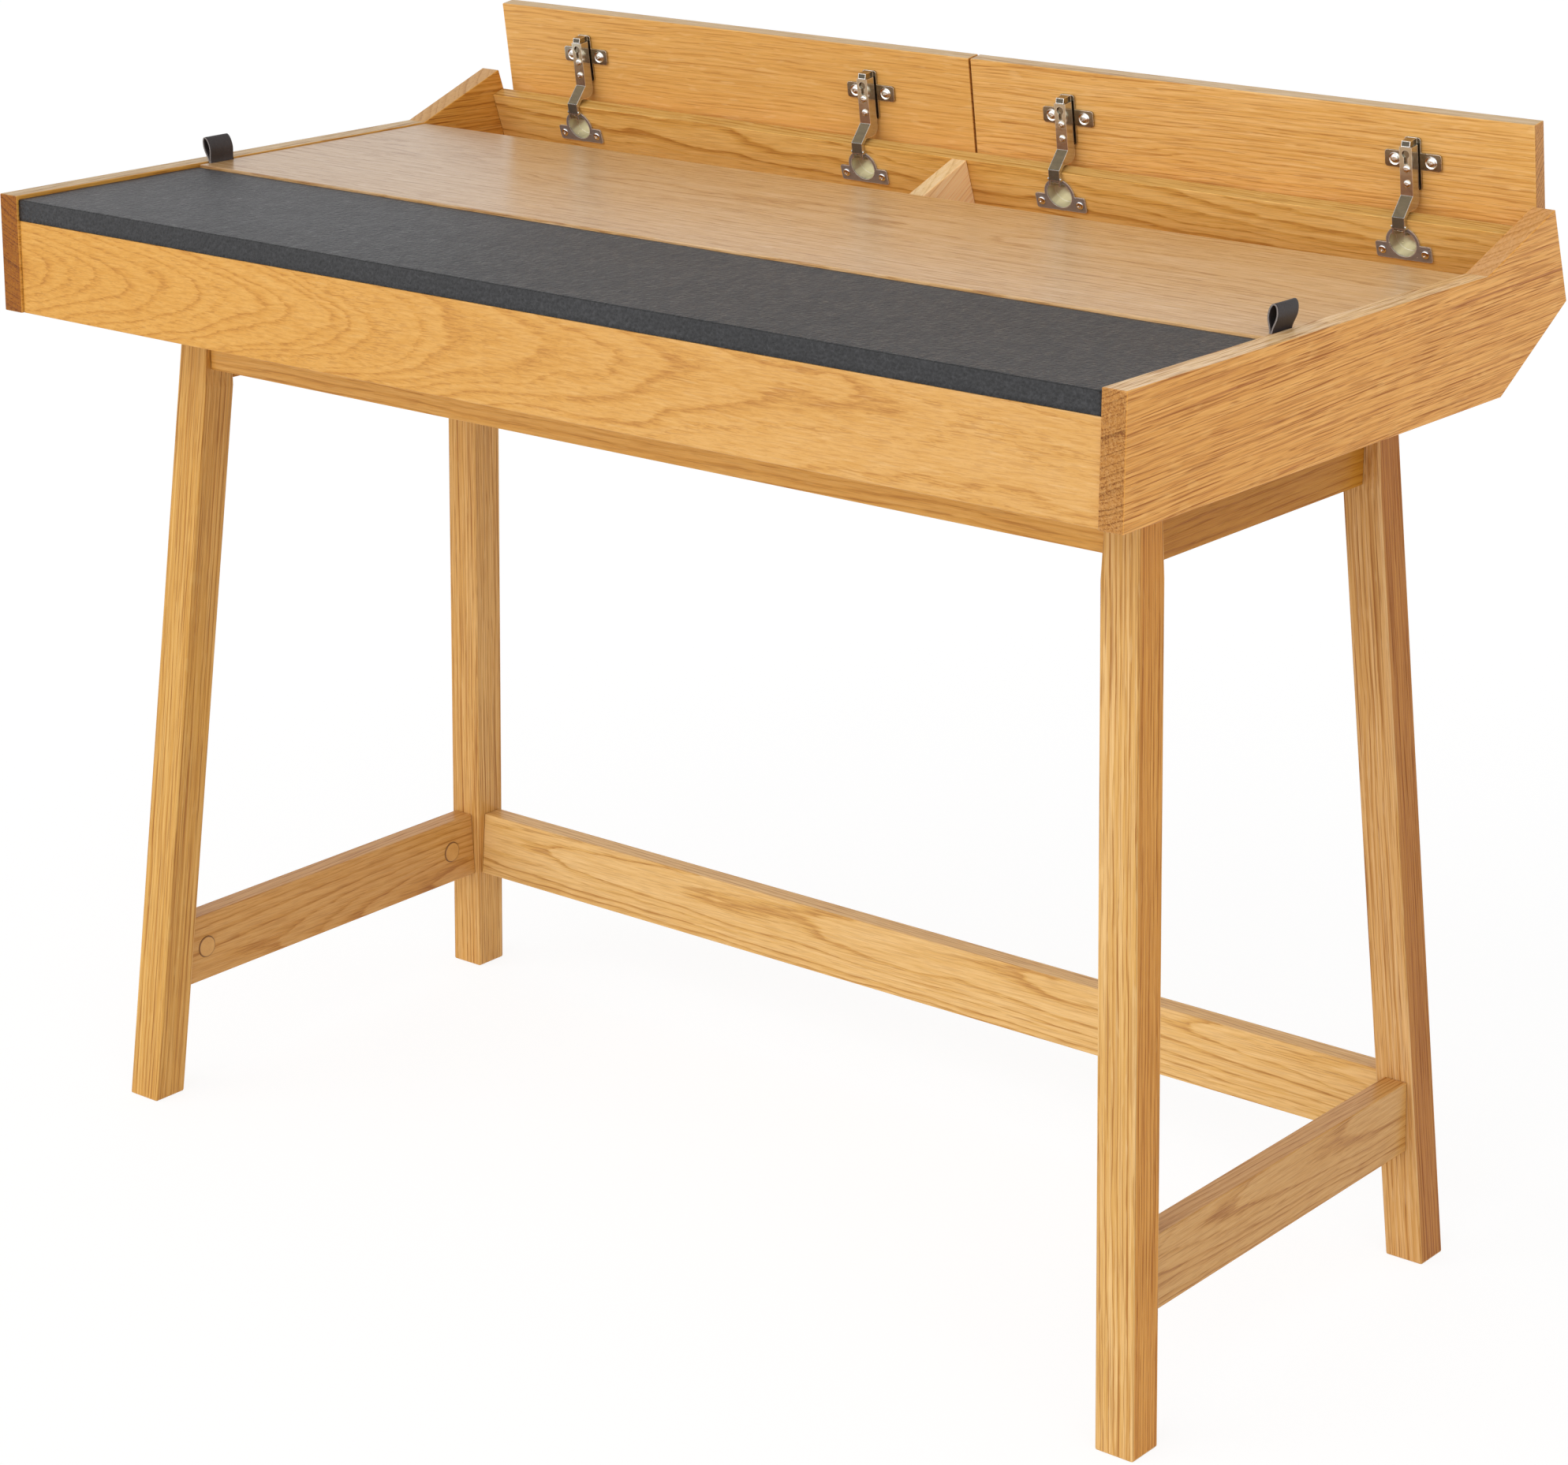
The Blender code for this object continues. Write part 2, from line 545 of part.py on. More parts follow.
def hinge_places():
    """Middles of the four hinges across the desk, left to right."""
    places = []
    for left_end in (-FLAP_WIDTH - FLAP_MIDDLE_GAP / 2, FLAP_MIDDLE_GAP / 2):
        places += [left_end + HINGE_INSET_LEFT, left_end + FLAP_WIDTH - HINGE_INSET_RIGHT]
    return places


def flap_place(stand, height):
    """(y, z) in a flap's frame of a point that stands off the flap's underside at a height along it."""
    return FLAP_FACE - stand, height - PIN_DEPTH


def build_flap(name, middle, frame):
    rear, foot = flap_place(-FLAP_THICKNESS, 0)
    face, head = flap_place(0, FLAP_LENGTH)
    half = FLAP_WIDTH / 2
    board = box((middle - half, face, foot), (middle + half, rear, head))
    ease_edges(add_part(name, board, OAK, parent=frame))


def build_cup(name, x):
    """The hinge cup in the back panel's frame: a drawn cup with a round flange and two ears for screws."""
    face = -BACK_THICKNESS - SEAT_GAP
    front = face - FLANGE_THICKNESS
    bottom = CUP_DEPTH - BACK_THICKNESS - SEAT_GAP
    ears = rounded_rectangle(EAR_SPAN, EAR_HEIGHT, EAR_ROUND, -CUP_SCREW_DROP)
    cup = add_part(name, prism(ears, front, face, "Y"), NICKEL, (x, 0, -CUP_DROP), BACK_FRAME)
    combine(cup, "UNION", cylinder(FLANGE_RADIUS, front, face, "Y"))
    combine(cup, "UNION", cylinder(CUP_RADIUS, front + FLANGE_THICKNESS / 2, bottom, "Y"))
    combine(cup, "DIFFERENCE", cylinder(CUP_RADIUS - CUP_WALL, front - SEAT_GAP, bottom - CUP_WALL, "Y"))
    shade_round(cup)


def build_hinge_pin(name, x):
    """The pin lies across the cup, from wall to wall."""
    bore = CUP_RADIUS - CUP_WALL
    off_centre = abs(CUP_DROP - PIN_DROP) + PIN_RADIUS
    half = math.sqrt(bore ** 2 - off_centre ** 2) - SEAT_GAP
    pin = add_part(name, cylinder(PIN_RADIUS, -half, half, segments=SMALL_SEGMENTS), NICKEL,
                   (x, -PIN_DEPTH, -PIN_DROP), BACK_FRAME)
    shade_round(pin)


def build_arm(name, x, frame):
    """The cranked arm: a folded channel with a keyhole, whose cheeks turn on the pin in the cup."""
    knee = ARM_STAND + CRANK_RUN
    crank_foot = ARM_BEND - CRANK_RISE
    slant = Vector((CRANK_RUN, -CRANK_RISE)).normalized()
    inward = Vector((slant.y, -slant.x))
    bend = Vector((ARM_STAND, ARM_BEND))
    crank_inner = bend + CRANK_WALL * inward
    plumb = Vector((0, 1))
    knee_inner = crossing(crank_inner, slant, Vector((knee - KNEE_WALL, 0)), plumb)
    cheek_inner = crossing(crank_inner, slant, Vector((0, CHEEK_FOOT)), Vector((1, 0)))
    belly = (ARM_LIP + CHEEK_ROUND, CHEEK_FOOT + CHEEK_ROUND)
    eye = (FLAP_FACE, PIN_DEPTH)
    cheek = [(ARM_STAND, ARM_END), bend, (knee, crank_foot), (knee, CHEEK_TOE),
             *arc(eye, EYE_RADIUS, 270, 90), (CHEEK_TURN, PIN_DEPTH + EYE_RADIUS),
             (knee - KNEE_WALL, RIVET_HEIGHT), knee_inner, cheek_inner,
             *arc(belly, CHEEK_ROUND, 270, 180), (ARM_LIP, ARM_END)]
    half = ARM_WIDTH / 2
    arm = add_part(name, prism([flap_place(*p) for p in cheek], -half, half), NICKEL, (x, 0, 0), frame)
    # The channel's hollow leaves the outer face standing and is open towards the flap and the cup.
    web_bend = crossing(Vector((ARM_STAND - ARM_SHEET, 0)), plumb, bend + ARM_SHEET * inward, slant)
    web_knee = crossing(Vector((knee - ARM_SHEET, 0)), plumb, bend + ARM_SHEET * inward, slant)
    past = ARM_END + ARM_WIDTH
    hollow = [(ARM_STAND - ARM_SHEET, past), web_bend, web_knee, (knee - ARM_SHEET, WEB_TOE),
              (knee + ARM_SHEET, WEB_TOE), (knee + ARM_SHEET, -ARM_WIDTH),
              (-ARM_WIDTH, -ARM_WIDTH), (-ARM_WIDTH, past)]
    clear = half - ARM_SHEET
    combine(arm, "DIFFERENCE", prism([flap_place(*p) for p in hollow], -clear, clear))
    eye_hole = cylinder(PIN_RADIUS + SEAT_GAP, -ARM_WIDTH, ARM_WIDTH, segments=SMALL_SEGMENTS)
    combine(arm, "DIFFERENCE", eye_hole)
    rivet = (0, *flap_place(knee - RIVET_RADIUS, RIVET_HEIGHT))
    combine(arm, "UNION", cylinder(RIVET_RADIUS, -RIVET_REACH, RIVET_REACH, "X", rivet, SMALL_SEGMENTS))
    web = (flap_place(ARM_STAND + ARM_SHEET, 0)[0], flap_place(ARM_STAND - 2 * ARM_SHEET, 0)[0])
    keyhole = flap_place(0, KEYHOLE_HEIGHT)[1]
    combine(arm, "DIFFERENCE", cylinder(KEYHOLE_RADIUS, *web, "Y", (0, 0, keyhole), SMALL_SEGMENTS))
    combine(arm, "DIFFERENCE", box((-KEYHOLE_SLOT_WIDTH / 2, web[0], keyhole - KEYHOLE_SLOT_LENGTH),
                                   (KEYHOLE_SLOT_WIDTH / 2, web[1], keyhole)))
    shade_round(arm)


def build_plate(name, x, frame):
    """The mounting plate: two wings for its screws and a saddle that fills the arm's channel."""
    face, middle = flap_place(SEAT_GAP, PLATE_SCREW_HEIGHT)
    front = flap_place(SEAT_GAP + PLATE_THICKNESS, 0)[0]
    wings = rounded_rectangle(WING_SPAN, WING_HEIGHT, WING_ROUND, middle)
    plate = add_part(name, prism(wings, front, face, "Y"), NICKEL, (x, 0, 0), frame)
    foot, head = flap_place(0, PLATE_FOOT)[1], flap_place(0, PLATE_HEAD)[1]
    base = rounded_rectangle(PLATE_WIDTH, head - foot, WING_ROUND, (foot + head) / 2)
    combine(plate, "UNION", prism(base, front, face, "Y"))
    # The saddle's head hooks over the arm's end.
    under_web = ARM_STAND - ARM_SHEET - SEAT_GAP
    hook = ARM_END + SEAT_GAP
    saddle = [(PLATE_THICKNESS / 2, PLATE_FOOT + WING_ROUND), (under_web, PLATE_FOOT + under_web / 2),
              (under_web, hook), (ARM_STAND, hook), (ARM_STAND - ARM_SHEET, PLATE_HEAD - SEAT_GAP),
              (PLATE_THICKNESS / 2, PLATE_HEAD - SEAT_GAP)]
    clear = ARM_WIDTH / 2 - ARM_SHEET - SEAT_GAP
    combine(plate, "UNION", prism([flap_place(*p) for p in saddle], -clear, clear))
    shade_round(plate)


def build_flaps_and_hinges():
    places = hinge_places()
    middle = (FLAP_MIDDLE_GAP + FLAP_WIDTH) / 2
    for index, (side, sign) in enumerate((("left", LEFT), ("right", RIGHT))):
        frame = add_empty(f"flap_axis_{side}", desk_point(0, PIN_AXIS), FLAP_LEAN)
        build_flap(f"flap_{side}", sign * middle, frame)
        for number in (2 * index, 2 * index + 1):
            label = number + 1
            build_cup(f"hinge_cup_{label}", places[number])
            build_hinge_pin(f"hinge_pin_{label}", places[number])
            build_arm(f"hinge_arm_{label}", places[number], frame)
            build_plate(f"hinge_plate_{label}", places[number], frame)


def leg_section(side, end, height):
    """Corners of a leg at a height, in world x and y."""
    x_outer, x_inner = side * leg_outer_x(height), side * leg_inner_x(height)
    y_outer, y_inner = leg_outer_y(end, height), leg_inner_y(end, height)
    pairs = ((x_outer, y_outer), (x_inner, y_outer), (x_inner, y_inner), (x_outer, y_inner))
    return [desk_point(x, (y, height)) for x, y in pairs]


def loft(sections):
    """A solid through rings of as many points each, closed at both ends."""
    bm = bmesh.new()
    rings = [[bm.verts.new(point) for point in section] for section in sections]
    for ring in (rings[0], rings[-1]):
        bm.faces.new(ring)
    for lower, upper in zip(rings, rings[1:]):
        for i in range(len(lower)):
            bm.faces.new((lower[i - 1], lower[i], upper[i], upper[i - 1]))
    return mesh_of(bm)


def build_leg(name, side, end):
    """A splayed leg drawn up through three sections: the foot, the kink and the plumb-faced head."""
    sections = [leg_section(side, end, height) for height in (0, LEG_KINK, LEG_TOP)]
    origin = sum(sections[0], Vector()) / len(sections[0])
    leg = add_part(name, loft([[point - origin for point in section] for section in sections]), OAK, origin)
    ease_edges(leg, LEG_ROUND)


def build_aprons():
    half = leg_inner_x(LEG_TOP) - SEAT_GAP
    for name, end, height in (("apron_front", FRONT, FRONT_APRON_HEIGHT),
                              ("apron_rear", REAR, REAR_APRON_HEIGHT)):
        outer = leg_outer_y(end, LEG_TOP) - end * FRONT_APRON_SETBACK
        faces = sorted((outer, outer - end * APRON_THICKNESS))
        mesh = prism(rectangle(*faces, LEG_TOP - height, LEG_TOP), -half, half)
        ease_edges(add_part(name, mesh, OAK, desk_point(0, (0, 0))))
    front = leg_inner_y(FRONT, LEG_TOP) + SEAT_GAP
    rear = leg_inner_y(REAR, LEG_TOP) - SEAT_GAP
    for name, side in (("apron_left", LEFT), ("apron_right", RIGHT)):
        outer = leg_outer_x(LEG_TOP) - SIDE_APRON_SETBACK
        edges = sorted((side * outer, side * (outer - APRON_THICKNESS)))
        mesh = prism(rectangle(front, rear, LEG_TOP - SIDE_APRON_HEIGHT, LEG_TOP), *edges)
        ease_edges(add_part(name, mesh, OAK, desk_point(0, (0, 0))))


def build_stretchers():
    low = STRETCHER_MIDDLE - STRETCHER_HEIGHT / 2
    high = STRETCHER_MIDDLE + STRETCHER_HEIGHT / 2
    outline = [(-leg_inner_x(low) + SEAT_GAP, low), (leg_inner_x(low) - SEAT_GAP, low),
               (leg_inner_x(high) - SEAT_GAP, high), (-leg_inner_x(high) + SEAT_GAP, high)]
    middle = leg_outer_y(REAR, STRETCHER_MIDDLE) - LEG_SIZE / 2
    mesh = prism(outline, middle - STRETCHER_THICKNESS / 2, middle + STRETCHER_THICKNESS / 2, "Y")
    ease_edges(add_part("stretcher_rear", mesh, OAK, desk_point(0, (0, 0))))
    for name, side in (("left", LEFT), ("right", RIGHT)):
        build_side_stretcher(name, side, low, high)


def build_side_stretcher(name, side, low, high):
    """A stretcher between a front and a rear leg, with a round plug near each end of its inner face."""
    outline = [(leg_inner_y(FRONT, low) + SEAT_GAP, low), (leg_inner_y(REAR, low) - SEAT_GAP, low),
               (leg_inner_y(REAR, high) - SEAT_GAP, high), (leg_inner_y(FRONT, high) + SEAT_GAP, high)]
    middle = leg_outer_x(STRETCHER_MIDDLE) - LEG_SIZE / 2
    inner_face = middle - STRETCHER_THICKNESS / 2
    edges = sorted((side * inner_face, side * (middle + STRETCHER_THICKNESS / 2)))
    stretcher = add_part(f"stretcher_{name}", prism(outline, *edges), OAK, desk_point(0, (0, 0)))
    ease_edges(stretcher)
    bottom = inner_face - PLUG_PROUD + PLUG_LENGTH
    places = (("front", leg_inner_y(FRONT, STRETCHER_MIDDLE) + PLUG_INSET_FRONT),
              ("rear", leg_inner_y(REAR, STRETCHER_MIDDLE) - PLUG_INSET_REAR))
    for place, y in places:
        bore = sorted((side * (inner_face - PLUG_PROUD), side * (bottom + SEAT_GAP)))
        centre = (0, y, STRETCHER_MIDDLE)
        combine(stretcher, "DIFFERENCE", cylinder(PLUG_RADIUS + SEAT_GAP, *bore, centre=centre))
        reach = sorted((side * (inner_face - PLUG_PROUD), side * bottom))
        plug = add_part(f"plug_{name}_{place}", cylinder(PLUG_RADIUS, *reach), PLUG,
                        desk_point(0, (y, STRETCHER_MIDDLE)))
        ease_edges(plug, PLUG_EDGE, 1)
        shade_round(plug)


clear_scene()
PARTS = new_collection("writing_desk")
CUTTERS = new_collection("cutters")
BACK_FRAME = add_empty("back_panel_frame", desk_point(0, BACK_CORNER), SLOPE_ANGLE)
LID_FRAME = add_empty("lid_axis", desk_point(0, LID_AXIS))
build_sides()
build_carcass()
build_writing_board()
build_lid()
build_tab("pull_tab_left", LEFT, TAB_LEAN_LEFT)
build_tab("pull_tab_right", RIGHT, TAB_LEAN_RIGHT)
build_flaps_and_hinges()
for leg_side, leg_x in (("left", LEFT), ("right", RIGHT)):
    build_leg(f"leg_front_{leg_side}", leg_x, FRONT)
    build_leg(f"leg_rear_{leg_side}", leg_x, REAR)
build_aprons()
build_stretchers()
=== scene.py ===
"""Looks of the writing desk: lacquered oak, charcoal leather and nickel-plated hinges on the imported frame."""

import math

import bmesh
import bpy
from mathutils import Matrix, Vector, noise
from mathutils.geometry import interpolate_bezier


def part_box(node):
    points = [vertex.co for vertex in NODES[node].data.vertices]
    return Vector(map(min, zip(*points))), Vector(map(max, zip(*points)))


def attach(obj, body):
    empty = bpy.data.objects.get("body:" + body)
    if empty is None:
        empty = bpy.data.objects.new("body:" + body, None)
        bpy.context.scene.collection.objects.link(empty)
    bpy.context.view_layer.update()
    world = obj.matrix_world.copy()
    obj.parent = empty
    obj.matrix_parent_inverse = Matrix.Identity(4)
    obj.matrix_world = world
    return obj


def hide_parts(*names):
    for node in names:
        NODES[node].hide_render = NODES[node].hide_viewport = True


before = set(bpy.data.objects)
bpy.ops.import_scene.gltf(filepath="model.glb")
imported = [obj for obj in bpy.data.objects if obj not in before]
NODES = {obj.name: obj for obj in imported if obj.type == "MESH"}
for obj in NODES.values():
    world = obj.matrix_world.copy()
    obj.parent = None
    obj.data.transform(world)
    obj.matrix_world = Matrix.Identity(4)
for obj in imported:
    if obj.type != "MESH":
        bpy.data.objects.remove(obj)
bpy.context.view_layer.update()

X, Y, Z = Vector((1, 0, 0)), Vector((0, 1, 0)), Vector((0, 0, 1))
LEFT, RIGHT, FRONT, REAR = -X, X, -Y, Y
SIDES = {"left": LEFT, "right": RIGHT}
ENDS = {"front": FRONT, "rear": REAR}

# Camera, fitted to the photo: focal length and image centre in pixels of its frame
FRAME_WIDTH, FRAME_HEIGHT = 1988, 1858
FOCAL_PIXELS = 5000.1
CENTRE_PIXEL = (978.5, 716.4)
EYE = Vector((1.9213, -2.3963, 1.3980))
AZIMUTH = math.radians(38.546)
ELEVATION = math.radians(15.771)
ROLL = math.radians(0.285)
SENSOR_WIDTH = 36.0
SIGHT_LIMIT = 100.0

# Light
SKY_LEVEL = 0.82
CEILING_LEVEL = 0.45       # of the sky overhead, as a share of its level near the horizon
CEILING_START = 0.35       # height on the sky, 0 at the horizon and 1 overhead, where it begins to darken
KEY_LEVEL = 1.12
KEY_FROM = Vector((-0.30, -0.85, 0.36))
FILL_LEVEL = 0.68
FILL_FROM = Vector((0.60, -0.70, 0.42))
LAMP_ANGLE = math.radians(70)
FLOOR_SIZE = 60.0
FLOOR_COLOUR = (0.95, 0.95, 0.95)
FLOOR_MOTTLE = 0.7         # how often its spots come to the metre
FLOOR_SPOTS = 0.985        # of the floor's darker spots, as a share of its colour
FLOOR_WHITE = 1.07         # strength of the floor's own white, which makes up for its shaded share
FLOOR_GLOW = 0.80          # how much of the floor's look is its own white, so that the shadow stays faint

# Leather on the writing board
LEATHER_THICKNESS = 0.0012
LEATHER_EDGE_RADIUS = 0.0018
LEATHER_TURN_UNDER = 0.012
LEATHER_COLUMNS = 220
TOP_STEPS, BEND_STEPS, DROP_STEPS, UNDER_STEPS = 40, 10, 4, 3
SKIN_SINK = 0.00022
SKIN_WAVES = (16, 22, 40)

# Pull tabs
TAB_THICKNESS = 0.0012
TAB_TAIL = 0.012
TAB_TAIL_GAP = 0.0002
TAB_HEIGHT = 0.0215
TAB_BULGE = 0.0036
TAB_BELLY = 0.6
TAB_CURL = 0.22
TAB_CROWN = 0.55
TAB_LEANS = {"left": math.radians(15.8), "right": math.radians(6.3)}
TAB_TAIL_MIDDLE = 0.527
TAB_STEPS = 14
TAB_CURVE_POINTS = 17
TAB_SWAY = 0.0004
SWAY_TURN, SWAY_START = 2.6, -0.6    # radians of the sway's wave across the tab, and where it begins

# Hinges, in the leaning frames of the back panel and of the open flaps
PANEL_LEAN = math.radians(20)
PANEL_TOP = Vector((0, 0.27918, 0.83209))   # upper rear edge of the back panel
PANEL_OUT = Matrix.Rotation(PANEL_LEAN, 3, "X") @ FRONT
PANEL_UP = Matrix.Rotation(PANEL_LEAN, 3, "X") @ Z
FLAP_LEAN = math.radians(9)
FLAP_PIN = Vector((0, 0.27490, 0.81606))
FLAP_FACE = 0.0161         # of the flap's underside, behind the pin
FLAP_EDGE = 0.0095         # of the flap's hinged edge, under the pin
FLAP_OUT = Matrix.Rotation(FLAP_LEAN, 3, "X") @ FRONT
FLAP_UP = Matrix.Rotation(FLAP_LEAN, 3, "X") @ Z
HINGE_PLACES = (-0.4295, -0.1059, 0.0985, 0.4221)
CUP_SCREWS = 0.038         # between the two screws of a cup
CUP_SCREW_DROP = 0.0279    # under the back panel's upper edge
EAR_STAND = 0.0165         # of the ears' face, in front of the panel's rear face
PLATE_SCREWS = 0.032
PLATE_SCREW_HEIGHT = 0.063
PLATE_STAND = 0.0020
ARM_STAND = 0.0130
ARM_SCREW_HEIGHTS = (0.0475, 0.0596)
ARM_SCREW_SHIFT = 0.0007
HOOK_STAND = 0.0112        # of the hook's end on a plate, in front of the flap
KNEE_STAND = 0.0266        # of the arms' knees, in front of the flap
CRANK_RISE = math.radians(38)
CRANK_OUT = Matrix.Rotation(-CRANK_RISE, 3, "X") @ FRONT   # where the arms' cranked face looks


def add_object(name, data):
    added = bpy.data.objects.new(name, data)
    bpy.context.scene.collection.objects.link(added)
    return added


def make_camera():
    back = Vector((math.sin(AZIMUTH) * math.cos(ELEVATION), -math.cos(AZIMUTH) * math.cos(ELEVATION),
                   math.sin(ELEVATION)))
    level = Vector((math.cos(AZIMUTH), math.sin(AZIMUTH), 0))
    plumb = back.cross(level)
    right = math.cos(ROLL) * level + math.sin(ROLL) * plumb
    up = back.cross(right)
    data = bpy.data.cameras.new("camera")
    data.sensor_width = SENSOR_WIDTH
    data.lens = SENSOR_WIDTH * FOCAL_PIXELS / FRAME_WIDTH
    data.shift_x = (FRAME_WIDTH / 2 - CENTRE_PIXEL[0]) / FRAME_WIDTH
    data.shift_y = (CENTRE_PIXEL[1] - FRAME_HEIGHT / 2) / FRAME_WIDTH
    data.clip_end = SIGHT_LIMIT
    camera = add_object("camera", data)
    camera.matrix_world = Matrix.Translation(EYE) @ Matrix((right, up, back)).transposed().to_4x4()
    bpy.context.scene.camera = camera


# Shader nodes
FACING = (0.95, 0.99)      # how nearly a face has to look in a direction to count, from not at all to fully


class Nodes:
    """Adds shader nodes to a tree, feeds their inputs from values or other outputs, and returns an output."""

    def __init__(self, tree):
        self.tree = tree

    def add(self, kind, inputs, output=0, **options):
        node = self.tree.nodes.new(kind)
        for name, value in options.items():
            setattr(node, name, value)
        for key, value in inputs.items():
            if isinstance(value, bpy.types.NodeSocket):
                self.tree.links.new(value, node.inputs[key])
            else:
                node.inputs[key].default_value = value
        return node.outputs[output]

    def place(self):
        return self.add("ShaderNodeTexCoord", {}, "Object")

    def normal(self):
        return self.add("ShaderNodeTexCoord", {}, "Normal")

    def math(self, operation, a, b=0.0):
        return self.add("ShaderNodeMath", {0: a, 1: b}, operation=operation)

    def scaled(self, value, span, start):
        """Takes a 0 to 1 value to a span that begins at start."""
        return self.math("ADD", self.math("MULTIPLY", value, span), start)

    def vector(self, operation, a, b, output=0):
        return self.add("ShaderNodeVectorMath", {0: a, 1: b}, output, operation=operation)

    def dot(self, a, b):
        return self.vector("DOT_PRODUCT", a, b, "Value")

    def length(self, a):
        return self.vector("LENGTH", a, (0, 0, 0), "Value")

    def noise(self, place, stretch, detail=2.0, roughness=0.5, output="Fac"):
        scaled = self.vector("MULTIPLY", place, stretch)
        inputs = {"Vector": scaled, "Scale": 1.0, "Detail": detail, "Roughness": roughness}
        return self.add("ShaderNodeTexNoise", inputs, output)

    def noise_of(self, value, stretch, detail):
        """Noise along one value."""
        inputs = {"W": self.math("MULTIPLY", value, stretch), "Scale": 1.0, "Detail": detail}
        return self.add("ShaderNodeTexNoise", inputs, "Fac", noise_dimensions="1D")

    def cells(self, place, scale, feature="F1"):
        inputs = {"Vector": place, "Scale": scale}
        return self.add("ShaderNodeTexVoronoi", inputs, "Distance", feature=feature)

    def step(self, value, start, end, low=0.0, high=1.0):
        """Runs smoothly from low to high as the value goes from start to end."""
        inputs = {"Value": value, "From Min": start, "From Max": end, "To Min": low, "To Max": high}
        return self.add("ShaderNodeMapRange", inputs, interpolation_type="SMOOTHSTEP")

    def facing(self, direction):
        """1 on the faces that look in a direction, and 0 on the others."""
        return self.step(self.dot(self.normal(), direction), *FACING)

    def mix(self, share, a, b, blend="MIX"):
        inputs = {0: share, 6: a, 7: b}
        return self.add("ShaderNodeMix", inputs, 2, data_type="RGBA", blend_type=blend)

    def cover(self, share, colour, over):
        return self.mix(share, colour, (*over, 1))

    def tint(self, share, colour, multiplier):
        return self.mix(share, colour, (*multiplier, 1), "MULTIPLY")

    def shade(self, colour, painted_light):
        """Paints light and shade onto the faces that look in some directions, from pairs of direction and
        multiplier.
        """
        for direction, multiplier in painted_light:
            colour = self.tint(self.facing(direction), colour, multiplier)
        return colour

    def ramp(self, value, stops):
        output = self.add("ShaderNodeValToRGB", {"Fac": value}, "Color")
        elements = output.node.color_ramp.elements
        while len(elements) < len(stops):
            elements.new(1.0)
        for element, (place, colour) in zip(elements, stops):
            element.position = place
            element.color = (*colour, 1)
        return output

    def three_tones(self, value, tones):
        """A ramp through a dark, a middle and a light colour."""
        return self.ramp(value, list(zip((0.0, 0.5, 1.0), tones)))

    def spread(self, *parts):
        """Sums pairs of a 0 to 1 value and its weight, each about the value's middle, round one half."""
        total = None
        for value, weight in parts:
            swing = self.math("MULTIPLY", self.math("SUBTRACT", value, 0.5), weight)
            total = swing if total is None else self.math("ADD", total, swing)
        return self.math("ADD", total, 0.5)

    def bump(self, height, strength, distance):
        return self.add("ShaderNodeBump", {"Height": height, "Strength": strength, "Distance": distance})


def grey(level):
    return (level, level, level)


def new_material(name, **sockets):
    """A material with one shader, some of whose sockets are set to fixed values."""
    made = bpy.data.materials.new(name)
    made.use_nodes = True
    shader = made.node_tree.nodes["Principled BSDF"]
    for socket, value in sockets.items():
        shader.inputs[socket.replace("_", " ")].default_value = value
    return made, Nodes(made.node_tree), shader


def feed(material, shader, **outputs):
    for socket, output in outputs.items():
        material.node_tree.links.new(output, shader.inputs[socket.replace("_", " ")])
    return material


def dress(name, material):
    """Puts a material on a solid of the frame."""
    mesh = NODES[name].data
    mesh.materials.clear()
    mesh.materials.append(material)


# Oak: colours from its darkest to its lightest tone, then of its pores, its rays and its cut ends
OAK_TONES = ((0.43, 0.155, 0.021), (0.655, 0.310, 0.052), (0.78, 0.425, 0.105))
OAK_PORE = (0.33, 0.110, 0.015)
OAK_RAY = (0.80, 0.48, 0.14)
END_GRAIN = (0.66, 0.655, 0.78)
END_RING = 0.62            # of the dark rings on a cut end, as a share of its colour
PORE_SHARE = 0.48
RAY_SHARE = 0.25
MIDDLE_TONE = 0.47
TRUNK_STEP = 1.7           # along the trunk, between one board and the next

# Oak's lacquer, the roughness of the wood under it, and the strength and depth of its relief
GLOSS = 0.2
LID_GLOSS = 0.6
DULL_GLOSS = 0.04          # of faces whose white reflections would drown their colour
LACQUER_ROUGHNESS = 0.24
OAK_SPECULAR = 0.15
OAK_ROUGHNESS, PORE_ROUGHNESS, HAIR_ROUGHNESS = 0.30, 0.16, 0.14
OAK_RELIEF = (0.22, 0.0004)
HAIR_HEIGHT = 0.35         # of the fine lines, as a share of the pores' depth

# Swings of the rings: how often to the metre, along the trunk and across it, and how far
RING_SWINGS = (((1.5, 9, 9), 0.034), ((7, 15, 15), 0.013), ((14, 60, 60), 0.0022), ((30, 420, 420), 0.0024))
# Marks in the wood: how often they come to the metre, along the trunk and across it
BROAD_BANDS = (1.2, 26, 26)
HAIR_LINES = (0.6, 430, 430)
PORE_TICKS = (1, 880, 880)
PORE_PITS = (3, 1300, 1300)
RAYS_ALONG, RAYS_ROUND, RAYS_OUT = 45, 75, 30
# Levels of the noise between which pores and rays come up
TICK_LEVELS, PIT_LEVELS, RAY_LEVELS = (0.56, 0.68), (0.54, 0.66), (0.60, 0.74)
PIT_DEPTH = 0.75           # as a share of a tick's
# Year rings: how unevenly they are spaced, and how strongly they and the broad bands show
RING_UNEVEN, RING_UNEVEN_RATE = 2.4, 0.4
RING_WEIGHT, BROAD_WEIGHT = 0.75, 0.45
# Steps, as start, end, low and high: of the pores from late to early wood, and of the rings in bolder years
EARLY_STEP = (0.50, 0.02, 0.45, 1.0)
BOLD_STEP, BOLD_RATE = (0.3, 0.7, 0.35, 1.0), 0.83
# Steps of the fine lines on a face that is more and more square to the grain, and of its cut ends' colour
SLANT_STEP, SQUARE_STEP = (0.15, 0.32, 1.0, 0.4), (0.60, 0.90, 0.0, 0.6)
CUT_STEP = (0.80, 0.97)
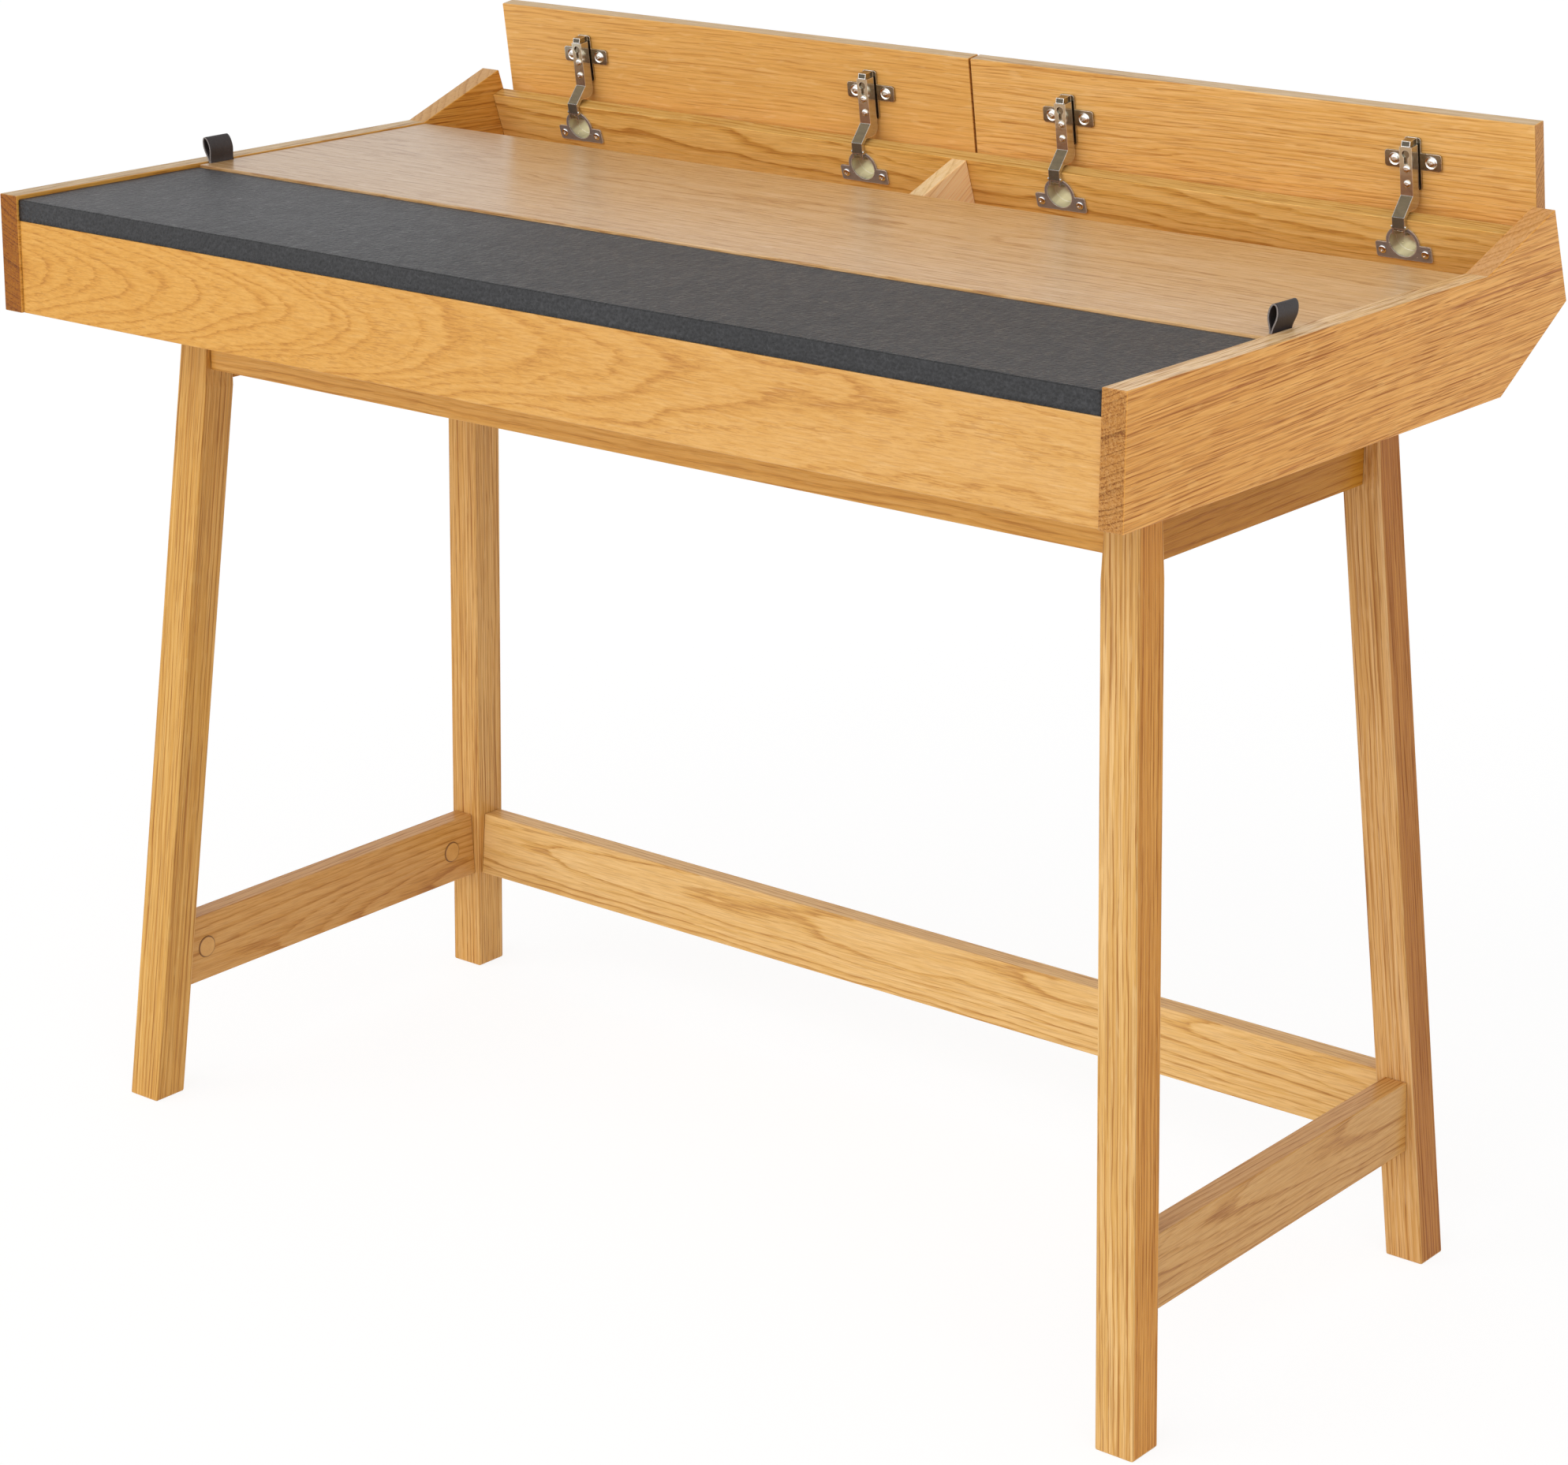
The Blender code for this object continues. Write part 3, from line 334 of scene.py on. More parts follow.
# Tone across one year's ring, as pairs of place and level
RING_TONES = ((0.0, 0.0), (0.07, 0.15), (0.28, 0.62), (0.65, 0.92), (0.93, 0.85), (1.0, 0.0))


def wandering(n, place, amount):
    """Lets the rings wander along the trunk, slowly and in shorter swirls, ripple and fray into fibres."""
    moved = place
    for stretch, reach in RING_SWINGS:
        swing = n.vector("SUBTRACT", n.noise(place, stretch, output="Color"), grey(0.5))
        swing = n.vector("MULTIPLY", swing, (0, reach, reach))
        swing = n.add("ShaderNodeVectorMath", {0: swing, "Scale": amount}, operation="SCALE")
        moved = n.vector("ADD", moved, swing)
    return moved


def year_rings(n, count):
    """Tones of the late and of the early wood where so many rings have been counted from the heart."""
    uneven = n.noise_of(count, RING_UNEVEN_RATE, detail=1.0)
    ring = n.math("FRACT", n.math("ADD", count, n.math("MULTIPLY", uneven, RING_UNEVEN)))
    late = n.ramp(ring, [(place, grey(level)) for place, level in RING_TONES])
    early = n.step(ring, *EARLY_STEP)
    # Some years leave a bold line and others a faint one.
    bold = n.step(n.noise_of(count, BOLD_RATE, detail=0.0), *BOLD_STEP)
    late = n.math("SUBTRACT", 1.0, n.math("MULTIPLY", n.math("SUBTRACT", 1.0, late), bold))
    return late, early


def rays(n, moved, radius):
    """Rays stand out from the heart: flecks on a radial face, short dashes on a tangential one."""
    parts = n.add("ShaderNodeSeparateXYZ", {0: moved}).node.outputs
    angle = n.math("ARCTAN2", parts[2], parts[1])
    fan = n.add("ShaderNodeCombineXYZ", {0: n.math("MULTIPLY", parts[0], RAYS_ALONG),
                                         1: n.math("MULTIPLY", angle, RAYS_ROUND),
                                         2: n.math("MULTIPLY", radius, RAYS_OUT)})
    return n.step(n.noise(fan, grey(1), detail=1.0), *RAY_LEVELS)


def build_oak_figure():
    """Oak as it grows: rings round the tree's heart along X, with pores, rays and slow changes of tone."""
    group = bpy.data.node_groups.new("oak_figure", "ShaderNodeTree")
    group.interface.new_socket("Place", in_out="INPUT", socket_type="NodeSocketVector")
    for name in ("Ring Width", "Figure", "Contrast", "Wander", "Ticks"):
        group.interface.new_socket(name, in_out="INPUT", socket_type="NodeSocketFloat")
    for name in ("Tone", "Pore", "Ray", "Ring", "Roughness", "Height"):
        group.interface.new_socket(name, in_out="OUTPUT", socket_type="NodeSocketFloat")
    given = group.nodes.new("NodeGroupInput").outputs
    n = Nodes(group)
    place = given["Place"]
    moved = wandering(n, place, given["Wander"])
    radius = n.length(n.vector("MULTIPLY", moved, (0, 1, 1)))
    late, early = year_rings(n, n.math("DIVIDE", radius, given["Ring Width"]))

    # Fine lines, slow changes of tone, and pores as ticks that crowd in each ring's early wood.
    flow = n.vector("MULTIPLY", place, n.add("ShaderNodeCombineXYZ", {0: given["Ticks"], 1: 1.0, 2: 1.0}))
    hair = n.noise(flow, HAIR_LINES, detail=3.0, roughness=0.65)
    broad = n.noise(moved, BROAD_BANDS, detail=2.0)
    ticks = n.step(n.noise(flow, PORE_TICKS, detail=0.0), *TICK_LEVELS)
    pits = n.step(n.noise(flow, PORE_PITS, detail=1.0), *PIT_LEVELS)
    pore = n.math("MULTIPLY", n.math("MAXIMUM", ticks, n.math("MULTIPLY", pits, PIT_DEPTH)), early)
    pore = n.math("MULTIPLY", pore, given["Contrast"])

    lines = n.math("MULTIPLY", n.math("SUBTRACT", hair, 0.5), given["Contrast"])
    bands = n.math("MULTIPLY", n.spread((late, RING_WEIGHT), (broad, BROAD_WEIGHT)), given["Figure"])
    tone = n.math("ADD", lines, n.math("SUBTRACT", bands, n.math("MULTIPLY", given["Figure"], 0.5)))
    roughness = n.scaled(hair, HAIR_ROUGHNESS, n.math("MULTIPLY", pore, PORE_ROUGHNESS))
    grown = {"Tone": n.math("ADD", tone, MIDDLE_TONE),
             "Pore": pore,
             "Ray": rays(n, moved, radius),
             "Ring": late,
             "Roughness": n.math("ADD", roughness, OAK_ROUGHNESS),
             "Height": n.math("SUBTRACT", n.math("MULTIPLY", hair, HAIR_HEIGHT), pore)}
    result = group.nodes.new("NodeGroupOutput").inputs
    for name, output in grown.items():
        group.links.new(output, result[name])
    return group


OAK_FIGURE = build_oak_figure()


def oak(name, along, face, heart, drift=(0.0, 0.0), bow=0.0, ring=0.0036, figure=0.6, contrast=1.0,
        wander=0.5, ticks=10, tint=grey(1.0), far=grey(1.0), fade_end=1.0, end=END_GRAIN, painted_light=(),
        gloss=GLOSS):
    """Gives a board lacquered oak. Its grain runs along one direction and its broad side faces another.

    Heart is where the tree's middle lies from the board's, across and out of that face, drift how it leans
    on the way and bow how it curves out of the face. Ring is the width of a year's ring. Figure, contrast,
    wander and ticks set how strongly rings and fine lines show, how far the rings stray and how short the
    lines are. Tint multiplies the colour of the whole board, and far that of its far end as well, which is
    full at fade_end of the way from its middle to its end. End multiplies the colour of its cut ends. Painted
    light and shade are given as pairs of a direction and what multiplies the faces that look that way,
    making them lighter or darker as though light fell or reflected differently there."""
    low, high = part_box(name)
    across = face.cross(along).normalized()
    along = (along + drift[0] * across + drift[1] * face).normalized()
    across = face.cross(along).normalized()
    face = along.cross(across)
    to_board = Matrix((along, across, face))
    middle = (low + high) / 2 + heart[0] * across + heart[1] * face
    # Each board is cut from its own length of the trunk.
    start = TRUNK_STEP * sorted(NODES).index(name)
    shift = Vector((start, 0, 0)) - to_board @ middle

    material, n, shader = new_material(f"oak_{name}", Coat_Weight=gloss, Coat_Roughness=LACQUER_ROUGHNESS,
                                       Specular_IOR_Level=OAK_SPECULAR)
    turn = to_board.to_euler()
    place = n.add("ShaderNodeMapping", {"Vector": n.place(), "Location": shift, "Rotation": turn})
    way = n.math("SUBTRACT", n.dot(place, X), start)
    if bow:
        sag = n.math("MULTIPLY", n.math("MULTIPLY", way, way), bow)
        place = n.vector("ADD", place, n.add("ShaderNodeCombineXYZ", {2: sag}))
    square = n.math("ABSOLUTE", n.dot(n.normal(), along))
    # A slanting cut blurs the fine lines that a lengthwise or a square one shows.
    sharp = n.math("ADD", n.step(square, *SLANT_STEP), n.step(square, *SQUARE_STEP))
    grown = n.add("ShaderNodeGroup", {"Place": place, "Ring Width": ring, "Figure": figure, "Wander": wander,
                                      "Ticks": ticks, "Contrast": n.math("MULTIPLY", sharp, contrast)},
                  node_tree=OAK_FIGURE).node.outputs

    colour = n.three_tones(grown["Tone"], OAK_TONES)
    colour = n.cover(n.math("MULTIPLY", grown["Pore"], PORE_SHARE), colour, OAK_PORE)
    colour = n.cover(n.math("MULTIPLY", grown["Ray"], RAY_SHARE), colour, OAK_RAY)
    colour = n.tint(1.0, colour, tint)
    reach = abs((high - low).dot(along)) / 2
    colour = n.tint(n.step(way, -reach, fade_end * reach), colour, far)
    # Cut across the grain, the wood drinks more lacquer and darkens, and its rings stand out.
    rings = n.ramp(grown["Ring"], [(0.0, [END_RING * c for c in end]), (1.0, end)])
    colour = n.mix(n.step(square, *CUT_STEP), colour, rings, "MULTIPLY")
    # Painted light and shade: faces that look in given directions are made lighter or darker.
    colour = n.shade(colour, painted_light)
    feed(material, shader, Base_Color=colour, Roughness=grown["Roughness"],
         Normal=n.bump(grown["Height"], *OAK_RELIEF))
    dress(name, material)


def dress_box():
    oak("front_fascia", X, FRONT, (0.004, -0.085), (0.008, -0.075), bow=-0.058, ring=0.0042, figure=0.50,
        contrast=0.8, wander=0.9, ticks=60, tint=(1.02, 1.03, 1.08), far=(1.0, 1.09, 1.65))
    # Painted reflection: the side panels' level tops are paler and their rising tops browner.
    oak("side_panel_right", Y, RIGHT, (0.21, -0.085), (0.03, 0.01), ring=0.0034, figure=0.70, contrast=2.1,
        ticks=13, tint=(1.14, 1.06, 1.09), painted_light=[(Z, (1.13, 1.64, 4.10)), (PANEL_UP, (0.86, 0.95, 1.65))])
    oak("side_panel_left", Y, LEFT, (-0.19, -0.075), (0.02, 0.01), ring=0.0036, figure=0.60, contrast=1.7,
        ticks=13, end=(0.50, 0.32, 0.04), painted_light=[(Z, (0.89, 1.15, 2.30)), (PANEL_UP, (0.86, 0.95, 1.70))])
    oak("lid", X, Z, (0.030, -0.075), (0.010, 0.020), ring=0.0050, figure=0.65, contrast=1.4, wander=0.9,
        ticks=30, gloss=LID_GLOSS, tint=(0.79, 0.96, 2.12), far=(1.33, 1.36, 1.42), fade_end=0.2)
    # Painted shade: the back panel's top edge is darkened as though under the flaps' edge.
    oak("back_panel", X, PANEL_OUT, (0.050, -0.095), (0.012, 0.030), ring=0.0046, figure=1.0, contrast=1.0,
        wander=0.8, ticks=20, tint=(1.21, 1.43, 2.00), painted_light=[(PANEL_UP, grey(0.75))])
    for name in ("bottom_panel", "trough_floor", "writing_board"):
        oak(name, X, Z, (0.06, -0.09), (0.01, 0.01))
    for name in ("trough_rail", "board_rail"):
        oak(name, X, FRONT, (0.05, -0.07), (0.01, 0.01))
    for side, out in SIDES.items():
        oak(f"lid_cleat_{side}", Y, out, (0.03, -0.06))


def dress_flaps():
    # Painted reflection: the flaps' top edges are paler and greyer, as though mirroring a white sky.
    like = {"ring": 0.0034, "wander": 0.7, "ticks": 20, "tint": (1.17, 1.33, 2.10),
            "end": (0.735, 0.57, 0.39), "painted_light": [(FLAP_UP, (0.80, 0.96, 1.55))]}
    oak("flap_left", X, FLAP_OUT, (0.150, -0.110), (0.015, 0.006), figure=0.33, contrast=0.8, **like)
    oak("flap_right", X, FLAP_OUT, (-0.130, -0.120), (0.012, 0.008), figure=0.60, contrast=1.1, **like)


DIVIDER_SLOPE = math.radians(31)


def dress_divider():
    slope = Matrix.Rotation(DIVIDER_SLOPE, 3, "X") @ REAR
    slope_up = RIGHT.cross(slope)
    # Painted light: the tint is partly paler wood and partly light that the trough keeps off; the right face is
    # brightened as though lit from the right, and the slanted top darkened.
    oak("trough_divider", slope, RIGHT, (0.15, -0.07), (0.01, 0.01), figure=0.4, contrast=0.6,
        tint=(1.53, 2.2, 6.0), painted_light=[(slope_up, (0.82, 0.86, 0.95)), (RIGHT, (1.03, 1.12, 1.30))])


LEG_SPLAY = math.tan(math.radians(4.15))    # sideways, to a metre of height
LEG_RAKE = math.tan(math.radians(3.95))     # forwards or backwards
LEG_TINTS = {"front_left": (0.95, 1.02, 1.22), "front_right": (1.02, 1.20, 2.05),
             "rear_left": (0.97, 1.06, 1.55), "rear_right": (0.93, 1.04, 1.85)}
# Painted shade: the right legs' right sides are darker than their fronts, as though they caught and reflected
# less light.
LEG_SIDE_PAINTED_SHADE = {"front_right": [(RIGHT, (0.94, 0.71, 0.37))], "rear_right": [(RIGHT, (0.71, 0.48, 0.19))]}


def dress_leg_frame():
    for side, out in SIDES.items():
        oak(f"stretcher_{side}", Y, out, (0.020, -0.045), (0.02, 0.04), ring=0.0040, figure=0.9, ticks=16,
            tint=(0.86, 0.89, 1.25))
        # Their darker tint is partly darker wood and partly painted shade under the side panels.
        oak(f"apron_{side}", Y, out, (0.035, -0.055), (0.02, 0.01), ticks=16, tint=(0.73, 0.62, 0.32),
            gloss=DULL_GLOSS)
        for end, towards in ENDS.items():
            leg = f"{end}_{side}"
            upward = (Z - LEG_SPLAY * out - LEG_RAKE * towards).normalized()
            oak(f"leg_{leg}", upward, FRONT, (0.085 * out.x, -0.090), (0.004, 0.003), ring=0.0026,
                figure=0.85, contrast=1.7, wander=0.4, ticks=9, tint=LEG_TINTS[leg],
                painted_light=LEG_SIDE_PAINTED_SHADE.get(leg, ()), gloss=DULL_GLOSS if side == "right" else GLOSS)
    oak("apron_front", X, FRONT, (0.035, -0.060), (0.01, 0.01), ticks=24, tint=(1.05, 1.10, 1.28))
    oak("apron_rear", X, REAR, (0.035, -0.060), (0.01, 0.01))
    oak("stretcher_rear", X, FRONT, (0.016, -0.042), (0.012, 0.024), ring=0.0042, figure=0.9, ticks=20,
        tint=(1.09, 1.34, 2.40))


# Leather: colours from dark to light, how often its marks come to the metre, span and start of its roughness,
# and strength and depth of its relief
SKIN_TONES = ((0.004, 0.004, 0.005), (0.015, 0.015, 0.017), (0.042, 0.042, 0.045))
SKIN_SPECULAR = 0.50
SKIN_PEBBLES, SKIN_CREASES, SKIN_GRAIN, SKIN_MOTTLE = 380, 260, 750, 240
SKIN_CLOUDS, SKIN_SCUFFS = (5, 9, 9), (170, 60, 170)
CREASE_WAVES, CREASE_PULL = 90, 0.004
GRAIN_HEIGHT, CREASE_DEPTH = 0.6, 0.6    # as shares of the pebbles'
SKIN_ROUGHNESS, SKIN_RELIEF = (0.45, 0.28), (0.75, 0.0014)
BEND_PAINTED_SHADE = 0.3           # of the bend over the front edge, darkened as painted shade
PAINTED_SHEEN = 2.4             # of the upper side's left end, painted paler as a reflection of white
SHEEN_START, SHEEN_FULL = 0.10, -0.50
STRAP_TONES = ((0.016, 0.012, 0.012), (0.034, 0.026, 0.026), (0.060, 0.047, 0.047))
STRAP_IOR = 1.46
STRAP_PEBBLES, STRAP_CLOUDS = 900, 60
CLOUD_HEIGHT = 0.4         # as a share of the pebbles'
STRAP_ROUGHNESS, STRAP_RELIEF = (0.25, 0.40), (0.3, 0.0005)
CUT_FIBRES = (1500, 500, 1500)
CUT_ROUGHNESS, CUT_RELIEF = (0.2, 0.65), (0.5, 0.0003)
CUT_TONES = ((0.25, (0.10, 0.085, 0.08)), (0.55, (0.27, 0.24, 0.23)), (0.8, (0.42, 0.39, 0.37)))


def leather_material():
    material, n, shader = new_material("charcoal_leather", Specular_IOR_Level=SKIN_SPECULAR)
    place = n.place()
    pebble = n.cells(place, SKIN_PEBBLES, "SMOOTH_F1")
    pulled = n.vector("MULTIPLY", n.noise(place, grey(CREASE_WAVES), output="Color"), grey(CREASE_PULL))
    crease = n.cells(n.vector("ADD", place, pulled), SKIN_CREASES)
    grain = n.noise(place, grey(SKIN_GRAIN), detail=3.0, roughness=0.65)
    cloud = n.noise(place, SKIN_CLOUDS, detail=3.0)
    mottle = n.noise(place, grey(SKIN_MOTTLE), detail=4.0, roughness=0.75)
    scuff = n.noise(place, SKIN_SCUFFS, detail=4.0, roughness=0.8)
    tone = n.spread((pebble, 0.9), (cloud, 0.6), (grain, 1.2), (mottle, 1.7), (scuff, 1.2))
    colour = n.three_tones(tone, SKIN_TONES)
    # Painted reflection: the upper side grows paler towards its left end.
    sheen_share = n.math("MULTIPLY", n.facing(Z), n.step(n.dot(place, X), SHEEN_START, SHEEN_FULL))
    colour = n.tint(sheen_share, colour, grey(PAINTED_SHEEN))
    # Painted shade along the bend over the front edge.
    colour = n.shade(colour, [((Z + FRONT).normalized(), grey(BEND_PAINTED_SHADE))])
    roughness = n.scaled(n.spread((mottle, 1.0), (scuff, 1.2), (pebble, 0.3)), *SKIN_ROUGHNESS)
    depth = n.math("ADD", pebble, n.math("MULTIPLY", crease, CREASE_DEPTH))
    height = n.math("SUBTRACT", n.math("MULTIPLY", grain, GRAIN_HEIGHT), depth)
    return feed(material, shader, Base_Color=colour, Roughness=roughness, Normal=n.bump(height, *SKIN_RELIEF))


def strap_material():
    material, n, shader = new_material("strap_leather", IOR=STRAP_IOR)
    place = n.place()
    pebble = n.cells(place, STRAP_PEBBLES, "SMOOTH_F1")
    cloud = n.noise(place, grey(STRAP_CLOUDS), detail=3.0)
    colour = n.three_tones(n.spread((pebble, 0.5), (cloud, 1.0)), STRAP_TONES)
    height = n.math("SUBTRACT", n.math("MULTIPLY", cloud, CLOUD_HEIGHT), pebble)
    return feed(material, shader, Base_Color=colour, Roughness=n.scaled(cloud, *STRAP_ROUGHNESS),
                Normal=n.bump(height, *STRAP_RELIEF))


def cut_edge_material():
    material, n, shader = new_material("cut_leather_edge")
    fibre = n.noise(n.place(), CUT_FIBRES, detail=3.0)
    return feed(material, shader, Base_Color=n.ramp(fibre, CUT_TONES),
                Roughness=n.scaled(fibre, *CUT_ROUGHNESS), Normal=n.bump(fibre, *CUT_RELIEF))


def mesh_from(bm, name):
    """Turns a shape under work into a mesh whose faces all look outward."""
    mesh = bpy.data.meshes.new(name)
    bmesh.ops.recalc_face_normals(bm, faces=bm.faces)
    bm.to_mesh(mesh)
    bm.free()
    return mesh


def new_piece(name, bm, materials, smooth=True):
    mesh = mesh_from(bm, name)
    for material in materials:
        mesh.materials.append(material)
    if smooth:
        mesh.shade_smooth()
    return add_object(name, mesh)


def grid(rows):
    """An open surface through rows of as many points each."""
    bm = bmesh.new()
    made = [[bm.verts.new(point) for point in row] for row in rows]
    for lower, upper in zip(made, made[1:]):
        for i in range(len(lower) - 1):
            bm.faces.new((lower[i], lower[i + 1], upper[i + 1], upper[i]))
    return bm


def thicken(piece, thickness, offset):
    solid = piece.modifiers.new("thickness", "SOLIDIFY")
    solid.thickness = thickness
    solid.offset = offset
    return solid


def steps_to(start, end, count):
    """Evenly spaced points on the way from start to end, without start."""
    return [start.lerp(end, i / count) for i in range(1, count + 1)]


def make_leather():
    """The writing board's leather: one sheet stretched over the board, round its front edge and under it."""
    low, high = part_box("leather_cover")
    radius = LEATHER_EDGE_RADIUS
    bend = Vector((0, low.y + radius, high.z - radius))
    rear, toe = Vector((0, high.y, high.z)), Vector((0, low.y, low.z))
    line = [rear] + steps_to(rear, bend + radius * Z, TOP_STEPS)
    for i in range(1, BEND_STEPS + 1):
        turn = math.radians(90 * i / BEND_STEPS)
        line.append(bend + radius * Vector((0, -math.sin(turn), math.cos(turn))))
    line += steps_to(line[-1], toe, DROP_STEPS)
    line += steps_to(toe, toe + LEATHER_TURN_UNDER * REAR, UNDER_STEPS)
    inside = Vector((0, bend.y, low.z + radius))
    rows = []
    for i in range(LEATHER_COLUMNS + 1):
        x = low.x + (high.x - low.x) * i / LEATHER_COLUMNS
        row = []
        for point in line:
            place = Vector((x, point.y, point.z))
            # The skin sinks in by a fraction of a millimetre where it is stretched unevenly.
            sink = SKIN_SINK * (0.5 + noise.noise(place * Vector(SKIN_WAVES)))
            inward = (inside - point).normalized() if point.y < bend.y else -Z
            row.append(place + max(sink, 0) * inward)
        rows.append(row)
    cover = new_piece("leather_sheet", grid(rows), [leather_material()])
    thicken(cover, LEATHER_THICKNESS, -1)
    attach(cover, "desk")
    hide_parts("leather_cover")


def bend_through(start, leave, end, arrive):
    points = interpolate_bezier(start, start + leave, end + arrive, end, TAB_CURVE_POINTS)
    return [Vector(p) for p in points]


def tab_line(lean):
    """Middle of a strap as (outwards, height) pairs: up one end, round the loop and down the other."""
    tail = (TAB_TAIL_GAP + TAB_THICKNESS) / 2
    foot = Vector((tail, 0))
    belly = Vector((TAB_BULGE, TAB_HEIGHT * TAB_BELLY))
    crown = Vector((0, TAB_HEIGHT - TAB_THICKNESS / 2))
    rise = Vector((0, TAB_HEIGHT * TAB_CURL))
    outer = bend_through(crown, Vector((TAB_BULGE * TAB_CROWN, 0)), belly, rise)[:-1]
    outer += bend_through(belly, -rise, foot, rise)
    outer += [Vector((tail, -TAB_TAIL / 2)), Vector((tail, -TAB_TAIL))]
    inner = [Vector((-p.x, p.y)) for p in reversed(outer[1:])]
    return [Vector((p.x + max(p.y, 0) * math.tan(lean), p.y)) for p in inner + outer]


def make_tab(side, out):
    """A pull tab: a strap folded into a loop, with its two ends side by side in the lid's edge."""
    low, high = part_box(f"pull_tab_{side}")
    lid_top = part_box("lid")[1].z
    line = tab_line(TAB_LEANS[side])
    rows = []
    for i in range(TAB_STEPS + 1):
        y = low.y + (high.y - low.y) * i / TAB_STEPS
        sway = TAB_SWAY * math.sin(SWAY_TURN * i / TAB_STEPS + SWAY_START)
        row = []
        for p in line:
            outward = TAB_TAIL_MIDDLE + p.x + sway * max(p.y, 0) / TAB_HEIGHT
            row.append(Vector((out.x * outward, y, lid_top + p.y)))
        rows.append(row)
    strap = new_piece(f"pull_tab_strap_{side}", grid(rows), [strap_material(), cut_edge_material()])
    solid = thicken(strap, TAB_THICKNESS, 0)
    solid.use_even_offset = True
    solid.material_offset_rim = 1
    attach(strap, "lid")
    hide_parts(f"pull_tab_{side}")


# Metal
NICKEL = (0.60, 0.58, 0.55)
PLATE_NICKEL = (0.33, 0.30, 0.24)
# Painted shade on the plates' hook ends, which are open and dark inside.
HOOK_END_SHADE = (0.07, 0.06, 0.045)
CUP_NICKEL = (0.39, 0.40, 0.41)
CUP_INSIDE = (0.72, 0.68, 0.50)
ARM_NICKEL = (0.62, 0.57, 0.44)
# Painted shade on the arms' knees, darker than the rest of the same nickel.
KNEE_SHADE = (0.27, 0.36, 0.33)
# Painted shade on the arms' cranked face, as though it reflected a dark ceiling.
CRANK_PAINTED_SHADE = (0.42, 0.36, 0.29)
BRIGHT_ZINC = (0.80, 0.80, 0.80)
STEEL_SMEARS, STEEL_SPECKS = (160, 160, 420), 2600
STEEL_RELIEF = (0.06, 0.0003)
DARK_SMEAR = 0.84          # of the smears on plated steel, as a share of its colour
SMEAR_ROUGHNESS = 0.16     # between the shiniest and the dullest place
ZONE_EDGE = 0.0008         # over which one colour of a piece goes over into another
HIGHLIGHT_WIDTH = 0.0010         # width of the painted highlight along a pressed edge
EDGE_HIGHLIGHT = (0.93, 0.90, 0.84)
HIGHLIGHT_TURN = (0.995, 0.94)  # cosine of the rounded normal's turn where the painted highlight begins, and where it is full
HIGHLIGHT_SAMPLES = 6
PRESSED_EDGE = 0.0006
PRESSED_SEGMENTS = 3
PRESSED_ANGLE = math.radians(35)
WELD_REACH = 0.00001

# Cover caps
CAP_TONES = ((0.50, 0.24, 0.056), (0.62, 0.325, 0.088), (0.70, 0.39, 0.123))
CAP_COAT, CAP_COAT_ROUGHNESS = 0.1, 0.3
CAP_SPECKS, CAP_CLOUDS = 900, 120
CAP_ROUGHNESS, CAP_RELIEF = (0.2, 0.38), (0.12, 0.0002)
CAP_RIM = 0.0012
# Painted shadow in the gap round each cap.
CAP_GAP_SHADOW = (0.27, 0.120, 0.030)


def metal_material(name, colour, roughness, metallic=1.0, zone=None, painted_light=()):
    """Plated steel. A zone, which begins so far from a place in a direction, has a colour of its own, which on
    the plates' hook ends and the arms' knees is painted shade.
    """
    material, n, shader = new_material(name, Metallic=metallic)
    place = n.place()
    smear = n.noise(place, STEEL_SMEARS, detail=3.0)
    speck = n.noise(place, grey(STEEL_SPECKS), detail=2.0)
    dark = tuple(DARK_SMEAR * c for c in colour)
    tone = n.ramp(n.spread((smear, 1.1), (speck, 0.7)), [(0.15, dark), (0.6, colour), (1.0, colour)])
    if zone:
        origin, direction, distance, zone_colour = zone
        reach = n.dot(n.vector("SUBTRACT", place, origin), direction)
        tone = n.cover(n.step(reach, distance, distance + ZONE_EDGE), tone, zone_colour)
    # Painted shade on faces that look in given directions.
    tone = n.shade(tone, painted_light)
    # A painted highlight along the edges: there the normal of a rounded edge turns away from the face's own.
    rounded = n.add("ShaderNodeBevel", {"Radius": HIGHLIGHT_WIDTH}, samples=HIGHLIGHT_SAMPLES)
    own = n.add("ShaderNodeNewGeometry", {}, "Normal")
    tone = n.cover(n.step(n.dot(rounded, own), *HIGHLIGHT_TURN), tone, EDGE_HIGHLIGHT)
    rough = n.scaled(smear, SMEAR_ROUGHNESS, roughness - SMEAR_ROUGHNESS / 2)
    return feed(material, shader, Base_Color=tone, Roughness=rough, Normal=n.bump(smear, *STEEL_RELIEF))


def cap_material(name):
    """Flat tan plastic with a painted shadow round it, the dark line of the bore's gap."""
    low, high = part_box(name)
    radius = (high.z - low.z) / 2
    material, n, shader = new_material(f"tan_{name}", Coat_Weight=CAP_COAT, Coat_Roughness=CAP_COAT_ROUGHNESS)
    place = n.place()
    speck = n.noise(place, grey(CAP_SPECKS), detail=3.0)
    cloud = n.noise(place, grey(CAP_CLOUDS), detail=2.0)
    colour = n.three_tones(n.spread((speck, 0.8), (cloud, 0.8)), CAP_TONES)
    from_axis = n.length(n.vector("MULTIPLY", n.vector("SUBTRACT", place, (low + high) / 2), (0, 1, 1)))
    # Painted shadow: a dark ring round the cap's edge.
    colour = n.cover(n.step(from_axis, radius - CAP_RIM, radius - CAP_RIM / 2), colour, CAP_GAP_SHADOW)
    return feed(material, shader, Base_Color=colour, Roughness=n.scaled(speck, *CAP_ROUGHNESS),
                Normal=n.bump(speck, *CAP_RELIEF))


def soften_edges(piece):
    """Rounds a pressed sheet's edges, so that they catch the light."""
    weld = piece.modifiers.new("weld", "WELD")
    weld.merge_threshold = WELD_REACH
    bevel = piece.modifiers.new("pressed edges", "BEVEL")
    bevel.width = PRESSED_EDGE
    bevel.segments = PRESSED_SEGMENTS
    bevel.limit_method = "ANGLE"
    bevel.angle_limit = PRESSED_ANGLE
    shade = piece.modifiers.new("flat faces", "WEIGHTED_NORMAL")
    shade.keep_sharp = False


